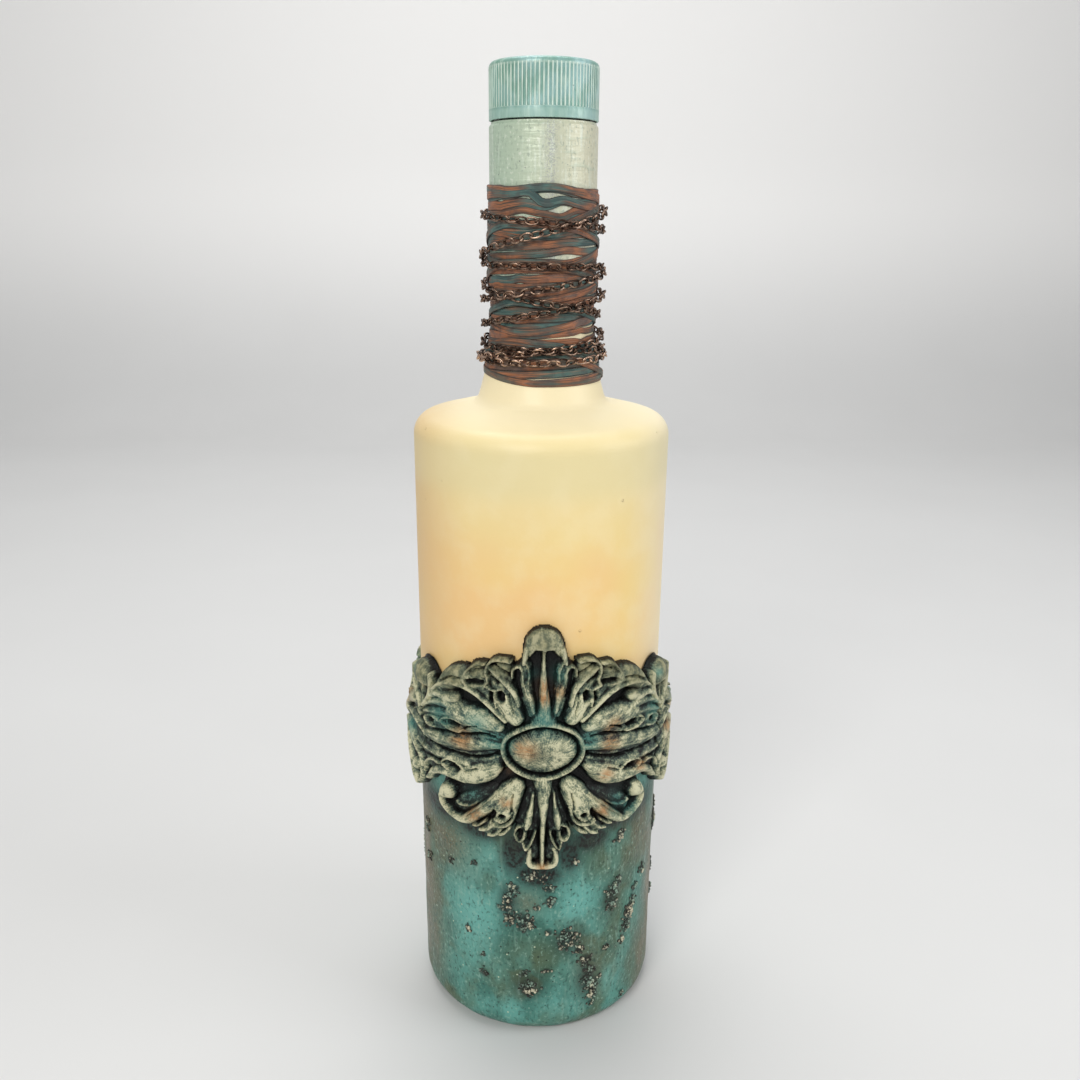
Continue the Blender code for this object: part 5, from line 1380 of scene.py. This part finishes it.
# Cap. A drawn aluminium shell with a plain band, a grip of fine ribs rolled into the wall and a round
# top edge, painted turquoise with the brush dragged over the ribs, so that they show pale.
CAP_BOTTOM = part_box("cap_shell")[0].z
CAP_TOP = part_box("cap_shell")[1].z
CAP_WALL = 0.0004
CAP_ROUND = 0.0014
RIB_COUNT = 82
RIB_WIDTH = 0.00035
RIB_RISE = 0.00025
RIB_START = 0.0030
RIB_EASE = 0.0004
RIB_END = 0.0013
ROOT_RADIUS = CLOSURE_RADIUS - RIB_RISE
RIB_FOOT = CAP_BOTTOM + RIB_START

enamel = Finish("dragged_turquoise", 0.36, 0.1)
drag = enamel.noise(0.0012, 4, (1, 1, 5), seed=1)
blot = enamel.noise(0.0060, 3, seed=2)
rim = enamel.window(enamel.radius(), ROOT_RADIUS + RIB_RISE * 0.35, CLOSURE_RADIUS)
colour = enamel.mix(enamel.window(blot, 0.38, 0.62), shade(126, 168, 156), shade(150, 188, 186))
greener = enamel.window(enamel.channel(enamel.place, "X"), 0, -0.0150, 0, 0.5)
colour = enamel.mix(greener, colour, shade(118, 160, 138))
height = enamel.channel(enamel.place, "Z")
paler = enamel.calc("MULTIPLY", rim, enamel.window(drag, 0.34, 0.56, 0.45, 1))
ribbed = enamel.window(height, RIB_FOOT - RIB_EASE, RIB_FOOT)
worn = enamel.mix(enamel.calc("MULTIPLY", paler, ribbed), colour, shade(222, 236, 222))
colour = enamel.mix(enamel.window(drag, 0.54, 0.70, 0, 0.5), worn, shade(196, 220, 208))
low = enamel.window(height, RIB_FOOT, RIB_FOOT - 0.0012, 0, 0.6)
low = enamel.calc("MULTIPLY", low, enamel.window(drag, 0.30, 0.60, 0.5, 1))
colour = enamel.mix(low, colour, shade(182, 212, 200))
colour = enamel.mix(enamel.specks(0.0017, 0.12, 0.16, seed=3), colour, shade(100, 136, 134))
enamel.set("Base Color", colour)
enamel.bump(enamel.calc("ADD", drag, blot), 0.0002)

profile = rounded([
    (0, CAP_TOP, 0),
    (CLOSURE_RADIUS - 0.0001, CAP_TOP, CAP_ROUND),
    (CLOSURE_RADIUS - 0.0001, CAP_TOP - CAP_ROUND - 0.0003, 0.0002),
    (ROOT_RADIUS, CAP_TOP - CAP_ROUND - 0.0008, 0.0002),
    (ROOT_RADIUS, RIB_FOOT, 0.0001),
    (CLOSURE_RADIUS, RIB_FOOT - RIB_RISE, 0.0001),
    (CLOSURE_RADIUS, CAP_BOTTOM, CAP_WALL / 2),
    (CLOSURE_RADIUS - CAP_WALL - RIB_RISE, CAP_BOTTOM, 0),
    (CLOSURE_RADIUS - CAP_WALL - RIB_RISE, CAP_TOP - CAP_WALL, 0.0008),
    (0, CAP_TOP - CAP_WALL, 0),
], math.radians(15))
cap = turned("ribbed_cap", profile, 164, False, enamel)
tree, entry = node_group("rolled_ribs", **{
    "Ribs": 0, "Radius": 0.0, "Foot": 0.0, "Head": 0.0, "Rib Radius": 0.0, "Paint": enamel.material,
})
circle = add_node(tree, "GeometryNodeMeshCircle", {
    "Vertices": entry["Ribs"],
    "Radius": entry["Radius"],
})
foot = add_node(tree, "ShaderNodeCombineXYZ", {"Z": entry["Foot"]})
head = add_node(tree, "ShaderNodeCombineXYZ", {"Z": entry["Head"]})
line = add_node(tree, "GeometryNodeCurvePrimitiveLine", {
    "Start": foot.outputs["Vector"],
    "End": head.outputs["Vector"],
})
line = add_node(tree, "GeometryNodeResampleCurve", {"Curve": line.outputs["Curve"], "Count": 12})
bead = add_node(tree, "GeometryNodeCurvePrimitiveCircle", {
    "Resolution": 8,
    "Radius": entry["Rib Radius"],
})
rib = add_node(tree, "GeometryNodeCurveToMesh", {
    "Curve": thinned_ends(tree, line.outputs["Curve"], 0.40, 0.45),
    "Profile Curve": bead.outputs["Curve"],
    "Fill Caps": True,
})
rolled = add_node(tree, "GeometryNodeInstanceOnPoints", {
    "Points": circle.outputs["Mesh"],
    "Instance": rib.outputs["Mesh"],
})
grown(cap, tree, joined(tree, entry, rolled.outputs["Instances"], entry["Paint"]), **{
    "Ribs": RIB_COUNT,
    "Radius": CLOSURE_RADIUS - RIB_WIDTH,
    "Foot": RIB_FOOT - RIB_EASE,
    "Head": CAP_TOP - RIB_END,
    "Rib Radius": RIB_WIDTH,
    "Paint": enamel.material,
})
cap.data.shade_smooth()
cap.data.set_sharp_from_angle(angle=math.radians(50))
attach(cap, "cap")
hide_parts("cap_shell")

# Cap insert and liner. The insert is a moulded plastic sleeve with the thread, pressed into the cap.
# The liner is a disc of foamed plastic that seals the lip. Both stay as the CAD made them.
plastic = Finish("moulded_insert", 0.38)
milky = plastic.mix(plastic.noise(0.004, 3), shade(232, 232, 226), shade(216, 217, 210))
plastic.set("Base Color", milky)
plastic.bump(plastic.noise(0.0006, 2, (1, 1, 6)), 0.0001)
foam = Finish("foamed_liner", 0.75)
foam.set("Base Color", foam.mix(foam.noise(0.0008, 3), shade(238, 236, 228), shade(214, 211, 200)))
foam.bump(foam.noise(0.0003, 2), 0.00015)
for name, finish in (("cap_insert", plastic), ("cap_liner", foam)):
    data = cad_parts[name].data
    data.materials.clear()
    data.materials.append(finish.material)

# Wrap cord. A flat soft yarn dyed in turns of rust, teal and grey brown, wound level round the neck
# over the foot of the closure, then down and up again with each round crossing the last a little.
WRAP_BOTTOM = 0.2050
WRAP_TOP = 0.2580
BAND_WIDTH = 0.0022
BAND_THICKNESS = 0.00042
LAYER_STEP = 0.00030
ROUND_STEPS = 72

# Each winding has its turns, the heights it starts and ends at, how far it wavers in a round, at what
# angle the waver stands, and the layer it lies in
WINDINGS = (
    (25.0, WRAP_BOTTOM + 0.0010, WRAP_TOP - 0.0012, 0.0004, 0.0, 0),
    (3.0, WRAP_TOP - 0.0012, WRAP_TOP - 0.0056, 0.0018, 2.4, 1),
    (6.0, WRAP_TOP - 0.0070, WRAP_BOTTOM + 0.0060, 0.0046, -0.9, 1),
    (5.0, WRAP_BOTTOM + 0.0050, WRAP_TOP - 0.0090, 0.0060, 2.2, 2),
)

# The first rounds lie level. The wrap's foot rises at the left and its top drops in front.
LEVEL_ROUNDS = 1.3
FOOT_LIFT = 0.0022
TOP_DROP = 0.0008
TOP_LIFT = 0.0014
UNEVEN = 0.00035

# Places where the strands have slid apart and bare a slit: arc, height, half length and half opening
SLITS = (
    (0.0002, 0.2551, 0.0062, 0.00100), (-0.0051, 0.2509, 0.0042, 0.00085),
    (0.0044, 0.2521, 0.0032, 0.00080), (0.0060, 0.2399, 0.0040, 0.00052),
    (-0.0070, 0.2332, 0.0020, 0.00028), (0.0112, 0.2196, 0.0015, 0.00026),
    (0.0118, 0.2177, 0.0015, 0.00024), (-0.0135, 0.2545, 0.0014, 0.00026),
    (-0.0075, 0.2248, 0.0022, 0.00028), (-0.0150, 0.2308, 0.0016, 0.00026),
    (0.0300, 0.2480, 0.0040, 0.00050), (-0.0340, 0.2410, 0.0040, 0.00045),
    (0.0480, 0.2540, 0.0050, 0.00055),
)
SLIT_FADE = 0.0030
SLIT_EDGE = 0.0003


def wrap_surface(height):
    """What the cord lies on: the flared neck, then the closure skirt with its edge eased."""
    over = smooth_step(height, SKIRT_BOTTOM - 0.0060, SKIRT_BOTTOM + 0.0010)
    return np.maximum(neck_radius(height - 0.0008), NECK_RADIUS + (CLOSURE_RADIUS - NECK_RADIUS) * over)


def winding(turns, low, high, waver, phase, layer, seed):
    """Angles, heights and radii of a winding that climbs from low to high, wavering once a round."""
    steps = round(turns * ROUND_STEPS)
    share = np.arange(steps + 1) / steps
    angle = math.pi + 2 * math.pi * turns * share
    share = np.clip((turns * share - LEVEL_ROUNDS) / (turns - LEVEL_ROUNDS), 0, 1)
    wobble = cloud(np.stack((angle * 0.6, share * 40, 0 * share), -1), 1.0, seed)
    height = low + (high - low) * share + waver * np.sin(angle + phase) + UNEVEN * wobble
    least = WRAP_BOTTOM + BAND_WIDTH / 2 + FOOT_LIFT * np.clip(-np.sin(angle), 0, 1) ** 2
    most = WRAP_TOP - BAND_WIDTH / 2 - TOP_DROP + TOP_LIFT * np.sin(angle) ** 2
    height = np.clip(height, least, most)
    girth = 2 * math.pi * CLOSURE_RADIUS
    for arc, level, half_length, opening in SLITS:
        along = (angle * CLOSURE_RADIUS - arc + girth / 2) % girth - girth / 2
        above = height - level
        part = opening * np.exp(-(along / half_length) ** 2) * np.exp(-np.abs(above) / SLIT_FADE)
        height = height + 2 * part * np.tanh(above / SLIT_EDGE)
    radius = wrap_surface(height) + BAND_THICKNESS / 2 + LAYER_STEP * layer
    radius = radius + 0.00006 * cloud(np.stack((angle, 0 * share, share), -1), 1.3, seed + 1)
    return angle, height, radius


def band(angle, height, radius, seed, number):
    """Points, faces and band coordinates of a flat strand with round edges along a winding."""
    centre = np.stack((radius * np.sin(angle), -radius * np.cos(angle), height), axis=-1)
    out = np.stack((np.sin(angle), -np.cos(angle), 0 * angle), axis=-1)
    along = np.gradient(centre, axis=0)
    along = along / np.linalg.norm(along, axis=1, keepdims=True)
    up = np.cross(out, along)
    up = up * np.sign(up[:, 2:3])
    swelling = cloud(np.stack((angle, 0 * angle, 0 * angle), -1), 1.7, seed + 2)
    width = BAND_WIDTH * (1 + 0.22 * swelling)
    sideways = np.array((-1, -0.92, -0.66, -0.3, 0.05, 0.4, 0.72, 0.94, 1, 0.8, -0.8))
    proud = np.array((-0.1, 0.24, 0.46, 0.36, 0.5, 0.38, 0.48, 0.22, -0.1, -0.5, -0.5))
    points = (
        centre[:, None]
        + up[:, None] * (width[:, None] / 2 * sideways)[..., None]
        + out[:, None] * (BAND_THICKNESS * proud)[None, :, None]
    )
    length = np.concatenate(((0,), np.cumsum(np.linalg.norm(np.diff(centre, axis=0), axis=1))))
    across = sideways[None, :] + 0 * length[:, None]
    along = length[:, None] + 0 * across
    tint = np.stack((along, across, number + 0 * across), axis=-1)
    sides = len(sideways)
    faces = quads(len(centre), sides, True, False).tolist()
    faces.append(list(range(sides)))
    faces.append([len(points) * sides - 1 - k for k in range(sides)])
    return points.reshape(-1, 3), faces, tint.reshape(-1, 3)


points, faces, tints = [], [], []
for number, (turns, low, high, waver, phase, layer) in enumerate(WINDINGS):
    route = winding(turns, low, high, waver, phase, layer, 41 + 5 * number)
    new_points, new_faces, new_tints = band(*route, 61 + 5 * number, number)
    start = sum(len(block) for block in points)
    faces += [[start + index for index in face] for face in new_faces]
    points.append(new_points)
    tints.append(new_tints)

yarn = Finish("variegated_yarn", 0.62)
band_place = yarn.attribute("band", "Vector")
block = yarn.noise(1, 2, (0.020, 5, 1), seed=1, place=band_place)
thread = yarn.noise(1, 3, (0.009, 0.22, 1), seed=2, place=band_place)
dusty = yarn.noise(0.0030, 2, seed=3)
hue = ramp(
    yarn,
    yarn.calc("MULTIPLY_ADD", yarn.calc("SUBTRACT", thread, 0.5), 0.35, block),
    (0.32, shade(52, 78, 76)), (0.40, shade(80, 112, 106)), (0.45, shade(92, 92, 82)),
    (0.50, shade(104, 82, 68)), (0.56, shade(150, 96, 62)), (0.61, shade(166, 106, 72)),
    (0.67, shade(108, 88, 78)),
)
colour = yarn.mix(yarn.window(thread, 0.56, 0.74, 0, 0.35), hue, shade(190, 150, 122))
colour = yarn.mix(yarn.window(thread, 0.44, 0.30, 0, 0.65), colour, shade(38, 34, 34))
colour = yarn.mix(yarn.window(dusty, 0.48, 0.66, 0, 0.45), colour, shade(70, 62, 60))
# The strand's edges, where it meets and tucks under the next, are painted dark: painted shade
edge = yarn.calc("ABSOLUTE", yarn.channel(band_place, "Y"))
colour = yarn.mix(yarn.window(edge, 0.70, 1.0, 0, 0.75), colour, shade(34, 28, 28))
yarn.set("Base Color", colour)
yarn.set("Sheen Weight", 0.10)
yarn.bump(thread, 0.00025)
cord = mesh_piece("wound_cord", np.concatenate(points), faces, yarn, merge=0)
set_attribute(cord.data, "band", np.concatenate(tints), "FLOAT_VECTOR")
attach(cord, "bottle")
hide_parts("wrap_cord")

# Neck chain. A fine copper curb chain, one length of open links, laid round the wound cord in crossing
# passes down and up again, the later ones over the earlier, and held by its own tension.
CORD_LAYERS = LAYER_STEP * 2 + BAND_THICKNESS
CHAIN_REACH = 0.00085
CHAIN_LAYER = 0.00055
LINK_PITCH = 0.00275
LINK_LENGTH = 0.00415
LINK_BREADTH = 0.00255
LINK_WIRE = 0.00028
LINK_TILT = math.radians(34)
PASS_STEPS = 96

# Each pass starts at the back and has its height there, at the left, in front, at the right and at the
# back again, and the layer it lies in
CHAIN_PASSES = (
    (0.2535, 0.2508, 0.2488, 0.2469, 0.2440, 0), (0.2440, 0.2382, 0.2375, 0.2369, 0.2345, 0),
    (0.2345, 0.2320, 0.2278, 0.2238, 0.2200, 0), (0.2200, 0.2160, 0.2150, 0.2146, 0.2125, 0),
    (0.2125, 0.2118, 0.2119, 0.2127, 0.2122, 1), (0.2122, 0.2121, 0.2150, 0.2183, 0.2198, 1),
    (0.2198, 0.2211, 0.2252, 0.2296, 0.2288, 1), (0.2288, 0.2279, 0.2316, 0.2358, 0.2380, 1),
    (0.2380, 0.2401, 0.2462, 0.2521, 0.2546, 1),
)


def smooth_run(values, share):
    """A smooth run through evenly spaced values."""
    values = np.asarray(values)
    place = share * (len(values) - 1)
    start = np.minimum(np.floor(place).astype(int), len(values) - 2)
    t = place - start
    padded = np.concatenate(((2 * values[0] - values[1],), values, (2 * values[-1] - values[-2],)))
    return between(*[padded[start + k] for k in range(4)], t)


stations = [height for one in CHAIN_PASSES for height in one[:4]] + [CHAIN_PASSES[-1][4]]
layers = [one[5] for one in CHAIN_PASSES for _ in range(4)] + [CHAIN_PASSES[-1][5]]
share = np.linspace(0, 1, len(CHAIN_PASSES) * PASS_STEPS + 1)
height = smooth_run(stations, share)
layer = smooth_run(blurred(np.array(layers, float)[:, None], 1)[:, 0], share)
angle = math.pi + 2 * math.pi * len(CHAIN_PASSES) * share
radius = wrap_surface(height) + CORD_LAYERS + CHAIN_REACH + CHAIN_LAYER * layer
path = np.stack((radius * np.sin(angle), -radius * np.cos(angle), height), axis=-1)

copper = Finish("aged_copper_chain_painted_highlights", 0.34, 1)
shine = copper.noise(0.0022, 3, seed=1)
# The outward side of the links is painted pale pinkish gold over the chain's dark aged colour: a
# painted highlight
proud = copper.window(copper.radius(), 0.0168, 0.0192)
painted_highlight = copper.calc("MULTIPLY", copper.window(shine, 0.40, 0.60), copper.window(proud, 0, 1, 0.35, 1))
copper.set("Base Color", copper.mix(painted_highlight, shade(70, 54, 46), shade(204, 172, 150)))
copper.set("Roughness", copper.window(shine, 0.3, 0.7, 0.46, 0.32))

chain = bpy.data.objects.new("copper_chain", bpy.data.meshes.new("copper_chain"))
chain.data.from_pydata(path.tolist(), [(k, k + 1) for k in range(len(path) - 1)], [])
chain.data.materials.append(copper.material)
bpy.context.scene.collection.objects.link(chain)
tree, entry = node_group("curb_chain", **{
    "Pitch": 0.0, "Length": 0.0, "Breadth": 0.0, "Wire": 0.0, "Tilt": 0.0, "Copper": copper.material,
})
line = add_node(tree, "GeometryNodeMeshToCurve", {"Mesh": entry["Geometry"]})
line = add_node(tree, "GeometryNodeResampleCurve", {
    "Curve": line.outputs["Curve"],
    "Length": entry["Pitch"],
}, mode="LENGTH")
beads = add_node(tree, "GeometryNodeCurveToPoints", {"Curve": line.outputs["Curve"]}, mode="EVALUATED")
along = add_node(tree, "FunctionNodeAlignRotationToVector", {
    "Vector": beads.outputs["Tangent"],
}, axis="X")
place = add_node(tree, "GeometryNodeInputPosition").outputs["Position"]
outward = add_node(tree, "ShaderNodeVectorMath", {0: place, 1: (1, 1, 0)}, operation="MULTIPLY")
faced = add_node(tree, "FunctionNodeAlignRotationToVector", {
    "Rotation": along.outputs["Rotation"],
    "Vector": outward.outputs["Vector"],
}, axis="Z", pivot_axis="X")
index = add_node(tree, "GeometryNodeInputIndex").outputs["Index"]
swing = worked_out(tree, "MULTIPLY_ADD", worked_out(tree, "MODULO", index, 2), 2, -1)
tilt = worked_out(tree, "MULTIPLY", swing, entry["Tilt"])
loose = add_node(tree, "FunctionNodeRandomValue", {2: -0.25, 3: 0.25, "Seed": 3}).outputs[1]
rocked = add_node(tree, "FunctionNodeAxisAngleToRotation", {
    "Axis": (1, 0, 0),
    "Angle": worked_out(tree, "ADD", tilt, loose),
})
spun = add_node(tree, "FunctionNodeRotateRotation", {
    "Rotation": faced.outputs["Rotation"],
    "Rotate By": rocked.outputs["Rotation"],
}, rotation_space="LOCAL")
oval = add_node(tree, "GeometryNodeCurvePrimitiveCircle", {"Resolution": 14, "Radius": 0.5})
shape = add_node(tree, "ShaderNodeCombineXYZ", {"X": entry["Length"], "Y": entry["Breadth"], "Z": 1})
oval = add_node(tree, "GeometryNodeTransform", {
    "Geometry": oval.outputs["Curve"],
    "Scale": shape.outputs["Vector"],
})
wire = add_node(tree, "GeometryNodeCurvePrimitiveCircle", {"Resolution": 8, "Radius": entry["Wire"]})
link = add_node(tree, "GeometryNodeCurveToMesh", {
    "Curve": oval.outputs["Geometry"],
    "Profile Curve": wire.outputs["Curve"],
})
linked = add_node(tree, "GeometryNodeInstanceOnPoints", {
    "Points": beads.outputs["Points"],
    "Instance": link.outputs["Mesh"],
    "Rotation": spun.outputs["Rotation"],
})
clad = add_node(tree, "GeometryNodeSetMaterial", {
    "Geometry": linked.outputs["Instances"],
    "Material": entry["Copper"],
})
smooth = add_node(tree, "GeometryNodeSetShadeSmooth", {"Geometry": clad.outputs["Geometry"]})
grown(chain, tree, smooth.outputs["Geometry"], **{
    "Pitch": LINK_PITCH,
    "Length": LINK_LENGTH - 2 * LINK_WIRE,
    "Breadth": LINK_BREADTH - 2 * LINK_WIRE,
    "Wire": LINK_WIRE,
    "Tilt": LINK_TILT,
    "Copper": copper.material,
})
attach(chain, "bottle")
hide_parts("neck_chain")

# Table, light and camera, as in the photograph: a pale floor that runs up into a pale wall, soft lamps
# in front at the left, at the right, above and on the wall, and a camera that looks down a little.
FLOOR_REACH = 1.2
FLOOR_BEND = 0.35
BEND_STEPS = 16
WALL_DISTANCE = 0.9
CAMERA_DISTANCE = 0.30717
CAMERA_HEIGHT = 0.24913
CAMERA_DOWN = math.radians(18.85)
CAMERA_SIDE = math.radians(-2.0)
CAMERA_ROLL = math.radians(0.48)
CAMERA_LENS = 34.47
CAMERA_SHIFT = 0.0315

pale = Finish("pale_table", 0.6)
floor = pale.mix(pale.noise(0.12, 2), shade(211, 211, 210), shade(216, 216, 215))
up_the_wall = pale.window(pale.channel(pale.place, "Z"), 0.02, 0.30)
pale.set("Base Color", pale.mix(up_the_wall, floor, shade(251, 250, 248)))
sweep = [(-FLOOR_REACH, 0), (WALL_DISTANCE, 0)]
for k in range(1, BEND_STEPS + 1):
    angle = math.pi / 2 * k / BEND_STEPS
    sweep.append((WALL_DISTANCE + FLOOR_BEND * math.sin(angle), FLOOR_BEND * (1 - math.cos(angle))))
sweep.append((WALL_DISTANCE + FLOOR_BEND, FLOOR_REACH))
points = [(x, y, z) for x in (-FLOOR_REACH, FLOOR_REACH) for y, z in sweep]
backdrop = mesh_piece("pale_backdrop", points, quads(2, len(sweep), False, False), pale)


def lamp(name, place, target, size, power, colour):
    """A square soft lamp at a place, turned to its target."""
    light = bpy.data.lights.new(name, "AREA")
    light.size = size
    light.energy = power
    light.color = colour
    item = bpy.data.objects.new(name, light)
    item.location = place
    away = np.array(place) - np.array(target)
    item.rotation_euler = (
        math.atan2(math.hypot(away[0], away[1]), away[2]),
        0,
        math.atan2(away[0], -away[1]),
    )
    bpy.context.scene.collection.objects.link(item)


MIDDLE = (0, 0, 0.15)
lamp("lamp_front", (-0.35, -0.85, 0.75), MIDDLE, 0.45, 6.2, (1, 0.985, 0.95))
lamp("lamp_right", (0.85, -0.25, 0.55), MIDDLE, 0.5, 3.2, (0.97, 0.98, 1))
lamp("lamp_above", (-0.1, 0.30, 1.1), MIDDLE, 0.7, 4.6, (1, 1, 1))
lamp("lamp_wall", (0, 0.45, 1.3), (0, 1.25, 0.35), 0.8, 4.0, (1, 1, 1))
world = bpy.data.worlds.new("soft_surround")
world.use_nodes = True
surround = world.node_tree.nodes["Background"].inputs
surround["Color"].default_value = (0.92, 0.93, 0.95, 1)
surround["Strength"].default_value = 0.36
bpy.context.scene.world = world
bpy.context.scene.view_settings.view_transform = "Standard"

data = bpy.data.cameras.new("camera")
data.lens = CAMERA_LENS
data.sensor_width = 36
data.shift_y = CAMERA_SHIFT
camera = bpy.data.objects.new("camera", data)
camera.location = (
    CAMERA_DISTANCE * math.sin(CAMERA_SIDE),
    -CAMERA_DISTANCE * math.cos(CAMERA_SIDE),
    CAMERA_HEIGHT,
)
aim = Euler((math.pi / 2 - CAMERA_DOWN, 0, CAMERA_SIDE)).to_matrix()
camera.rotation_euler = (aim @ Matrix.Rotation(CAMERA_ROLL, 3, "Z")).to_euler()
bpy.context.scene.collection.objects.link(camera)
bpy.context.scene.camera = camera
